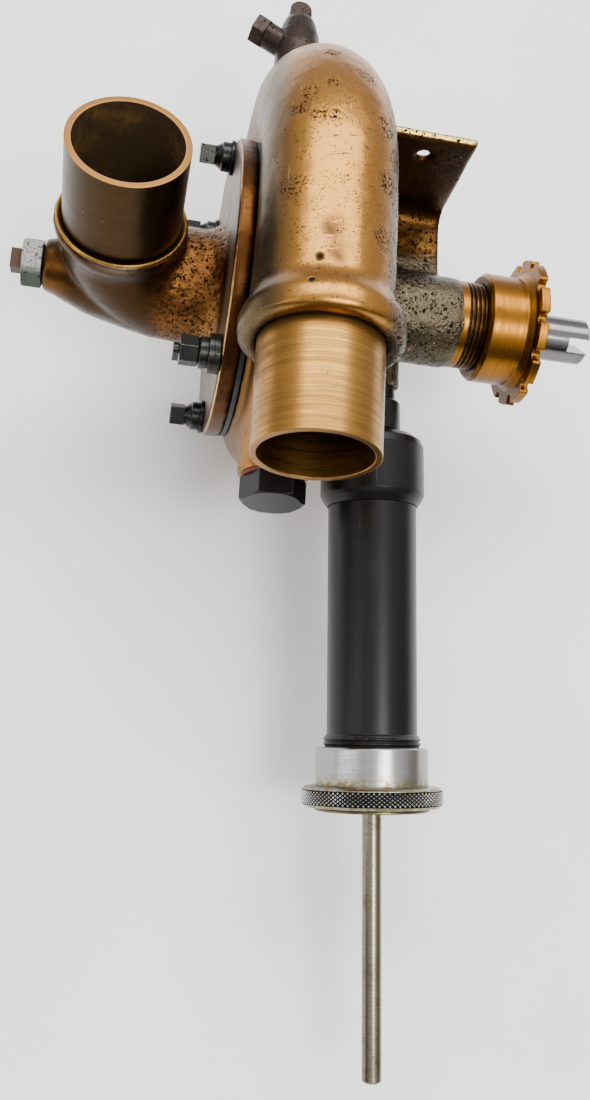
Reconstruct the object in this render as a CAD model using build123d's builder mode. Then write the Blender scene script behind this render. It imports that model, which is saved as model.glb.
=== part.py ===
"""Bronze centrifugal water pump with a spring-loaded greaser, as it lies on a bench.

X runs along the shaft towards the drive end, Z is up (the suction spigot points up) and
the discharge spigot points along -Y. The origin is on the shaft axis, at the outer face
of the gland nut, where the bare drive end of the shaft begins. Sizes are in millimetres.
"""

import math
import os

from build123d import *

os.makedirs("parts", exist_ok=True)

# ---------------------------------------------------------------- driving dimensions
HOSE_R = 19.0  # both spigots take a 38 mm hose
SPIGOT_WALL = 2.0
SOCKET_R = HOSE_R - 0.2  # reduced end of a spigot, inside its socket
FIT = 0.04  # radial clearance of turning and sliding fits

SHAFT_R = 8.0  # bare drive end
JOURNAL_R = 8.25
DRIVE_END = 23.0

GLAND_RING_T = 3.0
GLAND_LEFT = -18.6
BAND_LEFT, BAND_RIGHT = -28.3, -24.7
HOUSING_END = -12.5
HOUSING_R = 15.9
STUFFING_R = 12.0
STUFFING_LEFT = -36.0
BUSH_R = 11.5

BODY_BACK = -66.0
CHAMBER_BACK = -69.5
CHAMBER_R = 38.0
JOINT_X = -103.5  # machined face of the body
COVER_BACK = -105.0
COVER_FACE = -111.0
COVER_R = 50.0
BOLT_CIRCLE_R = 44.0
BOLT_ANGLES = (27.0, -33.0, -93.0, -153.0)  # from +Y towards +Z
STUD_ANGLE = 147.0

SCROLL_X = -84.3
SCROLL_R, SCROLL_TUBE_R = 54.0, 21.3  # at the throat
SCROLL_END_R, SCROLL_END_TUBE_R = 48.0, 12.6
SCROLL_END_SHIFT = -3.6  # the small end sits nearer the cover
SCROLL_SWEEP = 345.0
SCROLL_CORE_SWEEP = 280.0
SCROLL_RISE = 14.0
SCROLL_WALL = 5.0
SCROLL_TAPER = 1.4  # above 1, the tube narrows late
BEAD_R = 25.0
BEAD_TOP, BEAD_LIP = 35.5, 45.5
DISCHARGE_MOUTH = 80.0

SUCTION_X = -145.7
SUCTION_LEAN = 11.8  # degrees from Z towards +Y
SUCTION_LIP, SUCTION_MOUTH = 26.8, 57.8
COLLAR_R = 21.5
NECK_R, PASSAGE_R = 19.5, 15.0
BEND_R = 22.0
END_FACE = -170.0

FOOT_LEFT, FOOT_RIGHT = -66.0, -33.0
FOOT_BACK, FOOT_FACE = 40.0, 43.0
FOOT_HALF_SPAN = 46.5
FOOT_HOLE_X, FOOT_HOLE_Z, FOOT_HOLE_R = -49.2, 36.3, 2.4
WEB_HALF_T = 4.0

PLUG_X, PLUG_BOSS_R, PLUG_BOSS_END = -87.7, 12.2, 66.5
COCK_X, COCK_Z, COCK_SEAT = -89.8, 10.0, 88.0
COCK_BRANCH_TILT = 27.0

GREASER_X = -56.0
GREASER_BACK, GREASER_OUT = 8.0, 3.8  # degrees of tilt to -Z and to +X
GREASE_HOLE_R = 2.0
BARREL_R, BARREL_BORE_R = 15.05, 12.7
ROD_R = 3.175
SPRING_R, SPRING_WIRE_R, SPRING_TURNS = 9.4, 0.8, 9

# ---------------------------------------------------------------- frames of reference
SHAFT = Plane(origin=(0, 0, 0), x_dir=(0, 1, 0), z_dir=(1, 0, 0))
DUCT = Plane(origin=(SCROLL_X, 0, SCROLL_R), x_dir=(1, 0, 0), z_dir=(0, -1, 0))
DRAIN = Plane(origin=(PLUG_X, 0, 0), x_dir=(1, 0, 0), z_dir=(0, -1, 0))
COCK = Plane(origin=(COCK_X, 0, COCK_Z), x_dir=(1, 0, 0), z_dir=(0, 1, 0))

lean = math.radians(SUCTION_LEAN)
SUCTION = Plane(
    origin=(SUCTION_X, 0, 0), x_dir=(1, 0, 0), z_dir=(0, math.sin(lean), math.cos(lean))
)
ELBOW_PATH_PLANE = Plane(
    origin=(SUCTION_X, 0, 0), x_dir=(1, 0, 0), z_dir=Vector(1, 0, 0).cross(SUCTION.z_dir)
)

back = math.radians(GREASER_BACK)
out = math.radians(GREASER_OUT)
GREASER = Plane(
    origin=(GREASER_X, 0, 0),
    x_dir=(math.cos(out), math.sin(out), 0),
    z_dir=(math.sin(out), -math.cos(out) * math.cos(back), -math.cos(out) * math.sin(back)),
)


def half_section(frame, *outline):
    """A closed outline of (radius, height) points, in a plane through the frame's z axis."""
    side = Plane(origin=frame.origin, x_dir=frame.x_dir, z_dir=-frame.y_dir)
    with BuildSketch(side) as sketch:
        with BuildLine():
            Polyline(*outline, close=True)
        make_face()
    return sketch.sketch


def centre_line(frame):
    """The frame's z axis, to turn a half section about."""
    return Axis(frame.origin, frame.z_dir)


def ring(inner, outer, low, high):
    """Outline points of a plain ring."""
    return (inner, low), (outer, low), (outer, high), (inner, high)


def hexagon(frame, height, across_flats, turn=0.0):
    """A hexagon across the frame's axis at a height."""
    with BuildSketch(frame.offset(height)) as sketch:
        RegularPolygon(radius=across_flats / 2, side_count=6, major_radius=False, rotation=turn)
    return sketch.sketch


def circle_at(frame, height, radius):
    """A circle across the frame's axis at a height."""
    with BuildSketch(frame.offset(height)) as sketch:
        Circle(radius)
    return sketch.sketch


def bolt_frame(angle, x=0.0):
    """A frame along the shaft at a place on the cover's bolt circle."""
    turn = math.radians(angle)
    place = (x, BOLT_CIRCLE_R * math.cos(turn), BOLT_CIRCLE_R * math.sin(turn))
    return Plane(origin=place, x_dir=(0, math.cos(turn), math.sin(turn)), z_dir=(1, 0, 0))


def save(builder, name):
    """Labels a finished piece and writes its file."""
    builder.part.label = name
    export_step(builder.part, f"parts/{name}.step")


# ---------------------------------------------------------------- volute body
def scroll_sections(wall, sweep):
    """Round sections of the snail, from the throat back to its small end."""
    sections = []
    steps = 12
    for step in range(steps + 1):
        degrees = sweep * step / steps
        turn = math.radians(degrees)
        share = degrees / SCROLL_SWEEP
        centre_r = SCROLL_R + (SCROLL_END_R - SCROLL_R) * share
        narrowing = (SCROLL_TUBE_R - SCROLL_END_TUBE_R) * share**SCROLL_TAPER
        tube_r = SCROLL_TUBE_R - narrowing - wall
        rise = SCROLL_RISE * (1 - share)
        centre_x = SCROLL_X + SCROLL_END_SHIFT * share
        centre = (centre_x, rise + centre_r * math.sin(turn), centre_r * math.cos(turn))
        along = (0, math.cos(turn), -math.sin(turn))
        with BuildSketch(Plane(origin=centre, x_dir=(1, 0, 0), z_dir=along)) as sketch:
            Circle(tube_r)
        sections.append(sketch.sketch)
    return sections


with BuildPart() as volute_body:
    # drum round the impeller, shaft housing and gland thread
    body_outline = (
        (0, JOINT_X),
        (COVER_R - 0.5, JOINT_X),
        (COVER_R - 0.5, JOINT_X + 7),
        (45, JOINT_X + 10),
        (43, BODY_BACK - 6),
        (37, BODY_BACK),
        (24, BODY_BACK + 3),
        (HOUSING_R + 1.5, BODY_BACK + 8),
        (HOUSING_R, BODY_BACK + 14),
        (HOUSING_R, BAND_LEFT),
        (HOUSING_R - 0.7, BAND_LEFT),
        (HOUSING_R - 0.7, BAND_RIGHT),
        (HOUSING_R - 1.6, BAND_RIGHT + 0.8),
        (HOUSING_R - 1.6, HOUSING_END),
        (0, HOUSING_END),
    )
    revolve(half_section(SHAFT, *body_outline), axis=centre_line(SHAFT))
    # snail and straight discharge duct with its bead
    loft(scroll_sections(0, SCROLL_SWEEP))
    extrude(circle_at(DUCT, -SCROLL_RISE, SCROLL_TUBE_R), amount=SCROLL_RISE + BEAD_TOP + 2)
    bead_outline = (
        (0, BEAD_TOP - 4),
        (SCROLL_TUBE_R, BEAD_TOP - 4),
        (SCROLL_TUBE_R + 1.2, BEAD_TOP - 1),
        (BEAD_R - 1, BEAD_TOP + 1.2),
        (BEAD_R, BEAD_TOP + 3.5),
        (BEAD_R, BEAD_LIP - 1.5),
        (BEAD_R - 1.2, BEAD_LIP),
        (0, BEAD_LIP),
    )
    revolve(half_section(DUCT, *bead_outline), axis=centre_line(DUCT))
    # drain boss, vent boss and greaser boss
    extrude(circle_at(DRAIN, 40, PLUG_BOSS_R), amount=PLUG_BOSS_END - 40)
    extrude(circle_at(COCK, 66, 8.6), amount=COCK_SEAT - 66)
    extrude(circle_at(GREASER, 6, 9.3), amount=22.4)
    # foot: a web on the shaft housing and a plate across it
    with BuildSketch(Plane.XY.offset(-WEB_HALF_T)):
        with BuildLine():
            Polyline(
                (FOOT_LEFT, 0),
                (FOOT_RIGHT, 0),
                (FOOT_RIGHT, FOOT_BACK + 1),
                (FOOT_LEFT, FOOT_BACK + 1),
                close=True,
            )
        make_face()
    extrude(amount=2 * WEB_HALF_T)
    with BuildSketch(Plane.XY.offset(-FOOT_HALF_SPAN)):
        with Locations(((FOOT_LEFT + FOOT_RIGHT) / 2, (FOOT_BACK + FOOT_FACE) / 2)):
            Rectangle(FOOT_RIGHT - FOOT_LEFT, FOOT_FACE - FOOT_BACK)
    extrude(amount=2 * FOOT_HALF_SPAN)
    with BuildSketch(Plane.YZ.offset(FOOT_LEFT)):
        for side in (1, -1):
            with BuildLine():
                Polyline(
                    (FOOT_BACK + 0.5, side * (WEB_HALF_T - 0.5)),
                    (FOOT_BACK - 6, side * (WEB_HALF_T - 0.5)),
                    (FOOT_BACK - 6, side * WEB_HALF_T),
                    (FOOT_BACK - 3, side * (WEB_HALF_T + 0.9)),
                    (FOOT_BACK - 0.9, side * (WEB_HALF_T + 3)),
                    (FOOT_BACK, side * (WEB_HALF_T + 6)),
                    (FOOT_BACK + 0.5, side * (WEB_HALF_T + 6)),
                    close=True,
                )
            make_face()
    extrude(amount=FOOT_RIGHT - FOOT_LEFT)

    # room for the cover in front of the machined joint face
    revolve(
        half_section(SHAFT, *ring(0, COVER_R + 1, COVER_FACE, JOINT_X)),
        axis=centre_line(SHAFT),
        mode=Mode.SUBTRACT,
    )
    # room under the discharge spigot for a hose and its clip
    revolve(
        half_section(DUCT, *ring(0, BEAD_R - 2, BEAD_LIP, DISCHARGE_MOUTH)),
        axis=centre_line(DUCT),
        mode=Mode.SUBTRACT,
    )
    # the casing's flank machined level with the foot, so that a bearer can lie on both
    with BuildSketch(Plane.XY.offset(-FOOT_HALF_SPAN - 0.5)):
        with Locations((FOOT_LEFT + 10, FOOT_FACE + 10)):
            Rectangle(21, 20)
    extrude(amount=2 * FOOT_HALF_SPAN + 1, mode=Mode.SUBTRACT)
    # waterways: the impeller chamber, with a wider belt that opens into the snail
    chamber_outline = (
        (0, JOINT_X - 1),
        (CHAMBER_R, JOINT_X - 1),
        (CHAMBER_R, -93),
        (CHAMBER_R + 3, -91),
        (CHAMBER_R + 3, -78),
        (CHAMBER_R, -76),
        (CHAMBER_R, CHAMBER_BACK),
        (0, CHAMBER_BACK),
    )
    revolve(
        half_section(SHAFT, *chamber_outline), axis=centre_line(SHAFT), mode=Mode.SUBTRACT
    )
    loft(scroll_sections(SCROLL_WALL, SCROLL_CORE_SWEEP), mode=Mode.SUBTRACT)
    duct_bore = (
        (0, -SCROLL_RISE - 3),
        (SCROLL_TUBE_R - SCROLL_WALL - 0.7, -SCROLL_RISE - 3),
        (SCROLL_TUBE_R - SCROLL_WALL - 0.7, -SCROLL_RISE + 0.1),
        (SCROLL_TUBE_R - SCROLL_WALL, -SCROLL_RISE + 0.5),
        (SCROLL_TUBE_R - SCROLL_WALL, 20),
        (HOSE_R - SPIGOT_WALL, 32),
        (SOCKET_R, 32),
        (SOCKET_R, BEAD_LIP + 1),
        (0, BEAD_LIP + 1),
    )
    revolve(half_section(DUCT, *duct_bore), axis=centre_line(DUCT), mode=Mode.SUBTRACT)
    # bores for bushes, packing, drain plug, vent and greaser
    shaft_bore = (
        (0, CHAMBER_BACK - 1),
        (BUSH_R, CHAMBER_BACK - 1),
        (BUSH_R, STUFFING_LEFT),
        (STUFFING_R, STUFFING_LEFT),
        (STUFFING_R, HOUSING_END + 1),
        (0, HOUSING_END + 1),
    )
    revolve(half_section(SHAFT, *shaft_bore), axis=centre_line(SHAFT), mode=Mode.SUBTRACT)
    extrude(circle_at(DRAIN, 50, 7), amount=PLUG_BOSS_END - 49, mode=Mode.SUBTRACT)
    extrude(circle_at(COCK, 70, 4.5), amount=COCK_SEAT - 69, mode=Mode.SUBTRACT)
    extrude(circle_at(GREASER, 8, GREASE_HOLE_R), amount=22, mode=Mode.SUBTRACT)
    extrude(circle_at(GREASER, 19.4, 6), amount=10, mode=Mode.SUBTRACT)
    # bolt holes of the cover and of the foot
    for angle in (*BOLT_ANGLES, STUD_ANGLE):
        bolt_hole = circle_at(bolt_frame(angle), JOINT_X - 1, 2.4)
        extrude(bolt_hole, amount=5.8, mode=Mode.SUBTRACT)
    with BuildSketch(Plane.XZ.offset(-FOOT_FACE - 1)):
        with Locations((FOOT_HOLE_X, FOOT_HOLE_Z), (FOOT_HOLE_X, -FOOT_HOLE_Z)):
            Circle(FOOT_HOLE_R)
    extrude(amount=FOOT_FACE - FOOT_BACK + 2, mode=Mode.SUBTRACT)
save(volute_body, "volute_body")

with BuildPart() as discharge_spigot:
    spigot_bore = HOSE_R - SPIGOT_WALL
    revolve(
        half_section(
            DUCT,
            (spigot_bore, 32.2),
            (SOCKET_R, 32.2),
            (SOCKET_R, BEAD_LIP),
            (HOSE_R, BEAD_LIP),
            (HOSE_R, DISCHARGE_MOUTH),
            (spigot_bore, DISCHARGE_MOUTH),
        ),
        axis=centre_line(DUCT),
    )
save(discharge_spigot, "discharge_spigot")

# ---------------------------------------------------------------- suction cover
with BuildPart() as suction_cover:
    revolve(
        half_section(SHAFT, *ring(0, COVER_R, COVER_FACE, COVER_BACK)), axis=centre_line(SHAFT)
    )
    fillet(suction_cover.edges().filter_by(GeomType.CIRCLE).group_by(Axis.X)[0], 1.0)
    # neck on the shaft axis, bend and collar
    with BuildLine(ELBOW_PATH_PLANE) as elbow_path:
        neck_line = Line((COVER_BACK - SUCTION_X, 0), (BEND_R, 0))
        bend_arc = TangentArc((BEND_R, 0), (0, BEND_R), tangent=(-1, 0))
        Line(bend_arc @ 1, (0, SUCTION_LIP - 1))
    with BuildSketch(Plane(origin=(COVER_BACK, 0, 0), x_dir=(0, 1, 0), z_dir=(-1, 0, 0))):
        Circle(NECK_R)
    sweep(path=elbow_path.wires()[0])
    collar_outline = (
        (0, 17),
        (NECK_R, 17),
        (NECK_R + 0.8, 20.5),
        (COLLAR_R, 23.2),
        (COLLAR_R, SUCTION_LIP - 0.6),
        (COLLAR_R - 0.6, SUCTION_LIP),
        (0, SUCTION_LIP),
    )
    revolve(half_section(SUCTION, *collar_outline), axis=centre_line(SUCTION))
    # tapered boss for the thrust screw and flare of the neck into the flange
    end_boss = (
        (0, END_FACE),
        (8.0, END_FACE),
        (8.6, END_FACE + 0.6),
        (9.2, END_FACE + 3),
        (11.4, END_FACE + 8),
        (14.5, END_FACE + 15.6),
        (17.3, END_FACE + 27.7),
        (19.4, END_FACE + 38.5),
        (0, END_FACE + 38.5),
    )
    revolve(half_section(SHAFT, *end_boss), axis=centre_line(SHAFT))
    neck_flare = (
        (0, COVER_FACE - 6),
        (NECK_R, COVER_FACE - 6),
        (NECK_R + 0.9, COVER_FACE - 3),
        (NECK_R + 3, COVER_FACE - 0.9),
        (NECK_R + 6, COVER_FACE),
        (NECK_R + 6, COVER_FACE + 1),
        (0, COVER_FACE + 1),
    )
    revolve(half_section(SHAFT, *neck_flare), axis=centre_line(SHAFT))
    # waterway, spigot socket, thrust screw thread and bolt holes
    with BuildSketch(Plane(origin=(COVER_BACK + 1, 0, 0), x_dir=(0, 1, 0), z_dir=(-1, 0, 0))):
        Circle(PASSAGE_R)
    with BuildLine(ELBOW_PATH_PLANE) as core_path:
        Line((COVER_BACK + 1 - SUCTION_X, 0), (BEND_R, 0))
        core_arc = TangentArc((BEND_R, 0), (0, BEND_R), tangent=(-1, 0))
        Line(core_arc @ 1, (0, SUCTION_LIP + 1))
    sweep(path=core_path.wires()[0], mode=Mode.SUBTRACT)
    socket_outline = (
        (0, 18.8),
        (SOCKET_R, 18.8),
        (SOCKET_R, SUCTION_LIP - 1),
        (SOCKET_R + 1, SUCTION_LIP),
        (SOCKET_R + 1, SUCTION_LIP + 1),
        (0, SUCTION_LIP + 1),
    )
    revolve(half_section(SUCTION, *socket_outline), axis=centre_line(SUCTION), mode=Mode.SUBTRACT)
    extrude(circle_at(SHAFT, END_FACE - 1, 4 + FIT), amount=28, mode=Mode.SUBTRACT)
    for angle in (*BOLT_ANGLES, STUD_ANGLE):
        cover_hole = circle_at(bolt_frame(angle), COVER_FACE - 1, 2.7)
        extrude(cover_hole, amount=COVER_BACK - COVER_FACE + 2, mode=Mode.SUBTRACT)
save(suction_cover, "suction_cover")

with BuildPart() as suction_spigot:
    revolve(
        half_section(
            SUCTION,
            (HOSE_R - SPIGOT_WALL, 19),
            (SOCKET_R, 19),
            (SOCKET_R, SUCTION_LIP),
            (HOSE_R, SUCTION_LIP),
            (HOSE_R, SUCTION_MOUTH),
            (HOSE_R - SPIGOT_WALL, SUCTION_MOUTH),
        ),
        axis=centre_line(SUCTION),
    )
save(suction_spigot, "suction_spigot")

with BuildPart() as cover_gasket:
    gasket_outline = ring(CHAMBER_R + 0.5, COVER_R - 0.3, COVER_BACK, JOINT_X)
    revolve(half_section(SHAFT, *gasket_outline), axis=centre_line(SHAFT))
    for angle in (*BOLT_ANGLES, STUD_ANGLE):
        gasket_hole = circle_at(bolt_frame(angle), COVER_BACK - 1, 2.7)
        extrude(gasket_hole, amount=JOINT_X - COVER_BACK + 2, mode=Mode.SUBTRACT)
save(cover_gasket, "cover_gasket")

# ---------------------------------------------------------------- cover fasteners
WASHER_T = 1.2
BOLT_SEAT = COVER_FACE - WASHER_T
BOLT_TIP = JOINT_X + 4.6
with BuildPart() as cover_bolts:
    for angle in BOLT_ANGLES:
        bolt = bolt_frame(angle)
        bolt_outline = (
            (0, BOLT_SEAT - 6),
            (2.9, BOLT_SEAT - 5.6),
            (4.3, BOLT_SEAT - 3.2),
            (4.9, BOLT_SEAT - 2.8),
            (4.9, BOLT_SEAT),
            (2.4, BOLT_SEAT),
            (2.4, BOLT_TIP),
            (0, BOLT_TIP),
        )
        revolve(half_section(bolt, *bolt_outline), axis=centre_line(bolt))
        with BuildSketch(bolt.offset(BOLT_SEAT - 10.3)):
            Rectangle(6.2, 6.2, rotation=8)
        extrude(amount=5)
save(cover_bolts, "cover_bolts")

with BuildPart() as cover_bolt_washers:
    for angle in BOLT_ANGLES:
        bolt = bolt_frame(angle)
        washer_outline = ring(2.6, 5.75, BOLT_SEAT, COVER_FACE)
        revolve(half_section(bolt, *washer_outline), axis=centre_line(bolt))
save(cover_bolt_washers, "cover_bolt_washers")

STUD = bolt_frame(STUD_ANGLE)
STUD_WASHERS_T = 3.6
with BuildPart() as cover_stud:
    stud_outline = (
        (0, COVER_FACE - 14.6),
        (1.7, COVER_FACE - 14.6),
        (1.7, COVER_FACE - 12.8),
        (2.4, COVER_FACE - 12.4),
        (2.4, BOLT_TIP),
        (0, BOLT_TIP),
    )
    revolve(half_section(STUD, *stud_outline), axis=centre_line(STUD))
save(cover_stud, "cover_stud")

with BuildPart() as stud_nut:
    extrude(hexagon(STUD, COVER_FACE - 12.6, 8.6, 12), amount=5.6)
    collar = (
        (2.4, COVER_FACE - 7.2),
        (3.6, COVER_FACE - 7.2),
        (4.9, COVER_FACE - 6.2),
        (4.9, COVER_FACE - STUD_WASHERS_T),
        (2.4, COVER_FACE - STUD_WASHERS_T),
    )
    revolve(half_section(STUD, *collar), axis=centre_line(STUD))
    extrude(circle_at(STUD, COVER_FACE - 14, 2.4), amount=12, mode=Mode.SUBTRACT)
save(stud_nut, "stud_nut")

with BuildPart() as stud_washers:
    half_t = STUD_WASHERS_T / 2
    for low in (COVER_FACE - STUD_WASHERS_T, COVER_FACE - half_t):
        washer = ring(2.6, 6.3, low, low + half_t - 0.05)
        revolve(half_section(STUD, *washer), axis=centre_line(STUD))
save(stud_washers, "stud_washers")

# ---------------------------------------------------------------- thrust screw
SCREW_TIP = -149.5
with BuildPart() as thrust_screw:
    extrude(circle_at(SHAFT, -177.2, 4), amount=SCREW_TIP + 177.2)
    with BuildSketch(SHAFT.offset(-180.8)):
        Rectangle(6.5, 6.5, rotation=10)
    extrude(amount=3.6)
save(thrust_screw, "thrust_screw")

with BuildPart() as lock_nut:
    extrude(hexagon(SHAFT, END_FACE - 7.0, 14.6, 10), amount=6.6)
    nut_chamfer = ((6.9, -177.4), (12, -177.4), (12, -174.6))
    revolve(half_section(SHAFT, *nut_chamfer), axis=centre_line(SHAFT), mode=Mode.SUBTRACT)
    extrude(circle_at(SHAFT, -178, 4 + FIT), amount=9, mode=Mode.SUBTRACT)
save(lock_nut, "lock_nut")

with BuildPart() as thrust_button:
    extrude(circle_at(SHAFT, SCREW_TIP + 0.05, 3.9), amount=3)
save(thrust_button, "thrust_button")

# ---------------------------------------------------------------- shaft and impeller
IMPELLER_FRONT, IMPELLER_BACK = -92.0, -72.0
IMPELLER_R = 32.0
with BuildPart() as shaft:
    shaft_outline = (
        (0, -146.2),
        (4, -146.2),
        (5, -145.2),
        (5, -97.5),
        (6, -97.5),
        (6, IMPELLER_FRONT),
        (7, IMPELLER_FRONT),
        (7, IMPELLER_BACK),
        (JOURNAL_R, IMPELLER_BACK),
        (JOURNAL_R, 0),
        (SHAFT_R, 0),
        (SHAFT_R, DRIVE_END - 1),
        (SHAFT_R - 1, DRIVE_END),
        (0, DRIVE_END),
    )
    revolve(half_section(SHAFT, *shaft_outline), axis=centre_line(SHAFT))
    with BuildSketch(SHAFT.offset(DRIVE_END - 8)):
        Rectangle(20, 5, rotation=-50)
    extrude(amount=9, mode=Mode.SUBTRACT)
    with BuildSketch(Plane.XY.offset(-10)):
        with Locations((-82, 0)):
            Circle(1.5)
    extrude(amount=20, mode=Mode.SUBTRACT)
save(shaft, "shaft")

with BuildPart() as impeller:
    hub_outline = (
        (7, IMPELLER_FRONT),
        (11, IMPELLER_FRONT),
        (13, IMPELLER_BACK - 5),
        (IMPELLER_R, IMPELLER_BACK - 3),
        (IMPELLER_R, IMPELLER_BACK),
        (7, IMPELLER_BACK),
    )
    revolve(half_section(SHAFT, *hub_outline), axis=centre_line(SHAFT))
    with BuildSketch(SHAFT.offset(IMPELLER_FRONT)):
        with PolarLocations(0, 6):
            with BuildLine():
                pressure_side = ThreePointArc((10.5, 0), (21, 4.5), (31.5, 5.5))
                suction_side = ThreePointArc((31.2, 8), (20.5, 7.2), (10, 2.6))
                Line(pressure_side @ 1, suction_side @ 0)
                Line(suction_side @ 1, pressure_side @ 0)
            make_face()
    extrude(amount=IMPELLER_BACK - IMPELLER_FRONT - 2.5)
    with BuildSketch(Plane.XY.offset(-14)):
        with Locations((-82, 0)):
            Circle(1.5)
    extrude(amount=28, mode=Mode.SUBTRACT)
save(impeller, "impeller")

with BuildPart() as impeller_pin:
    with BuildSketch(Plane.XY.offset(-10.5)):
        with Locations((-82, 0)):
            Circle(1.5)
    extrude(amount=21)
save(impeller_pin, "impeller_pin")

with BuildPart() as impeller_nut:
    extrude(hexagon(SHAFT, -97, 17), amount=5)
    extrude(circle_at(SHAFT, -98, 6), amount=7, mode=Mode.SUBTRACT)
save(impeller_nut, "impeller_nut")

# ---------------------------------------------------------------- bushes and gland
with BuildPart() as inner_bush:
    revolve(
        half_section(SHAFT, *ring(JOURNAL_R + FIT, BUSH_R, -69, -58.5)), axis=centre_line(SHAFT)
    )
save(inner_bush, "inner_bush")

with BuildPart() as outer_bush:
    revolve(
        half_section(SHAFT, *ring(JOURNAL_R + FIT, BUSH_R, -53.5, -37)), axis=centre_line(SHAFT)
    )
save(outer_bush, "outer_bush")

PACKING_T = 4.0
with BuildPart() as packing_rings:
    for turn in range(3):
        low = STUFFING_LEFT + PACKING_T * turn
        packing = ring(JOURNAL_R + FIT, STUFFING_R, low + 0.05, low + PACKING_T)
        revolve(half_section(SHAFT, *packing), axis=centre_line(SHAFT))
save(packing_rings, "packing_rings")

with BuildPart() as gland_follower:
    follower_outline = (
        (JOURNAL_R + 0.15, -23.9),
        (STUFFING_R - FIT, -23.9),
        (STUFFING_R - FIT, -9),
        (13.8, -9),
        (13.8, -6.1),
        (JOURNAL_R + 0.15, -6.1),
    )
    revolve(half_section(SHAFT, *follower_outline), axis=centre_line(SHAFT))
save(gland_follower, "gland_follower")

GLAND_BORE_R = HOUSING_R - 0.55 + FIT
with BuildPart() as gland_nut:
    nut_outline = (
        (GLAND_BORE_R, GLAND_LEFT),
        (18.0, GLAND_LEFT),
        (19.2, GLAND_LEFT + 1.4),
        (19.2, -5.2),
        (21.0, -GLAND_RING_T),
        (25.8, -GLAND_RING_T),
        (25.8, 0),
        (JOURNAL_R + 0.8, 0),
        (JOURNAL_R + 0.8, -6),
        (GLAND_BORE_R, -6),
    )
    revolve(half_section(SHAFT, *nut_outline), axis=centre_line(SHAFT))
    # twelve tabs: U-shaped notches cut into the rim
    with BuildSketch(SHAFT.offset(-GLAND_RING_T - 1)):
        with PolarLocations(25.8, 12, start_angle=15):
            SlotCenterPoint((0, 0), (1.7, 0), 3.6)
    extrude(amount=GLAND_RING_T + 2, mode=Mode.SUBTRACT)
    straight_edges = gland_nut.edges().filter_by(Axis.X)
    fillet(straight_edges.filter_by(lambda e: math.hypot(e.center().Y, e.center().Z) > 25), 0.8)
save(gland_nut, "gland_nut")

# ---------------------------------------------------------------- drain plug
with BuildPart() as drain_plug_washer:
    washer = ring(7.1, 10.6, PLUG_BOSS_END, PLUG_BOSS_END + 1)
    revolve(half_section(DRAIN, *washer), axis=centre_line(DRAIN))
save(drain_plug_washer, "drain_plug_washer")

PLUG_END = 75.8
with BuildPart() as drain_plug:
    extrude(hexagon(DRAIN, PLUG_BOSS_END + 1, 19.2, 3), amount=PLUG_END - PLUG_BOSS_END - 1)
    plug_chamfer = ((9.7, PLUG_END + 0.1), (12.5, PLUG_END + 0.1), (12.5, PLUG_END - 1.7))
    revolve(half_section(DRAIN, *plug_chamfer), axis=centre_line(DRAIN), mode=Mode.SUBTRACT)
    extrude(circle_at(DRAIN, 55, 7), amount=PLUG_BOSS_END - 53)
save(drain_plug, "drain_plug")

# ---------------------------------------------------------------- vent cock
BORE_Y = 95.6  # where the side outlet meets the plug
branch = math.radians(COCK_BRANCH_TILT)
BRANCH = Plane(
    origin=(COCK_X, BORE_Y, COCK_Z),
    x_dir=(0, 0, 1),
    z_dir=(-math.cos(branch), math.sin(branch), 0),
)
with BuildPart() as cock_body:
    body_outline = (
        (0, 76),
        (4.5, 76),
        (4.5, COCK_SEAT),
        (8.4, COCK_SEAT),
        (8.4, 96),
        (7.6, 102),
        (6.2, 107.5),
        (5.4, 109.5),
        (0, 109.5),
    )
    revolve(half_section(COCK, *body_outline), axis=centre_line(COCK))
    extrude(circle_at(BRANCH, 0, 4.8), amount=13.4)
    plug_bore = ((0, 90), (3.2, 90), (3.9, 110), (0, 110))
    revolve(half_section(COCK, *plug_bore), axis=centre_line(COCK), mode=Mode.SUBTRACT)
    extrude(circle_at(COCK, 75, 1.6), amount=20, mode=Mode.SUBTRACT)
    extrude(circle_at(BRANCH, 0, 1.4), amount=16, mode=Mode.SUBTRACT)
save(cock_body, "cock_body")

with BuildPart() as cock_nut:
    extrude(hexagon(BRANCH, 13.4, 9.8, 20), amount=5)
    extrude(circle_at(BRANCH, 13, 1.4), amount=7, mode=Mode.SUBTRACT)
    fillet(cock_nut.edges().group_by(Axis.X)[0], 0.4)
save(cock_nut, "cock_nut")

with BuildPart() as cock_plug:
    plug_outline = ((0, 90.2), (3.14, 90.2), (3.82, 109.6), (4.4, 109.6), (4.4, 110.4), (0, 110.4))
    revolve(half_section(COCK, *plug_outline), axis=centre_line(COCK))
    with BuildSketch(Plane.XY.offset(COCK_Z - 9)):
        with Locations((COCK_X, BORE_Y)):
            Circle(1.5)
    extrude(amount=18, mode=Mode.SUBTRACT)
save(cock_plug, "cock_plug")

with BuildPart() as cock_lever:
    with BuildSketch(Plane.XY.offset(COCK_Z - 2.4)):
        with Locations((COCK_X, 113.5)):
            SlotCenterPoint((0, -1), (0, 0), 8)
        with Locations((COCK_X, 108.4)):
            Rectangle(10, 4, mode=Mode.SUBTRACT)
    extrude(amount=4.8)
save(cock_lever, "cock_lever")

# ---------------------------------------------------------------- greaser
with BuildPart() as greaser_nipple:
    nipple_outline = (
        (GREASE_HOLE_R, 20),
        (6, 20),
        (6, 28.4),
        (7.9, 28.4),
        (7.9, 33),
        (6, 33),
        (6, 40),
        (GREASE_HOLE_R, 40),
    )
    revolve(half_section(GREASER, *nipple_outline), axis=centre_line(GREASER))
save(greaser_nipple, "greaser_nipple")

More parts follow.
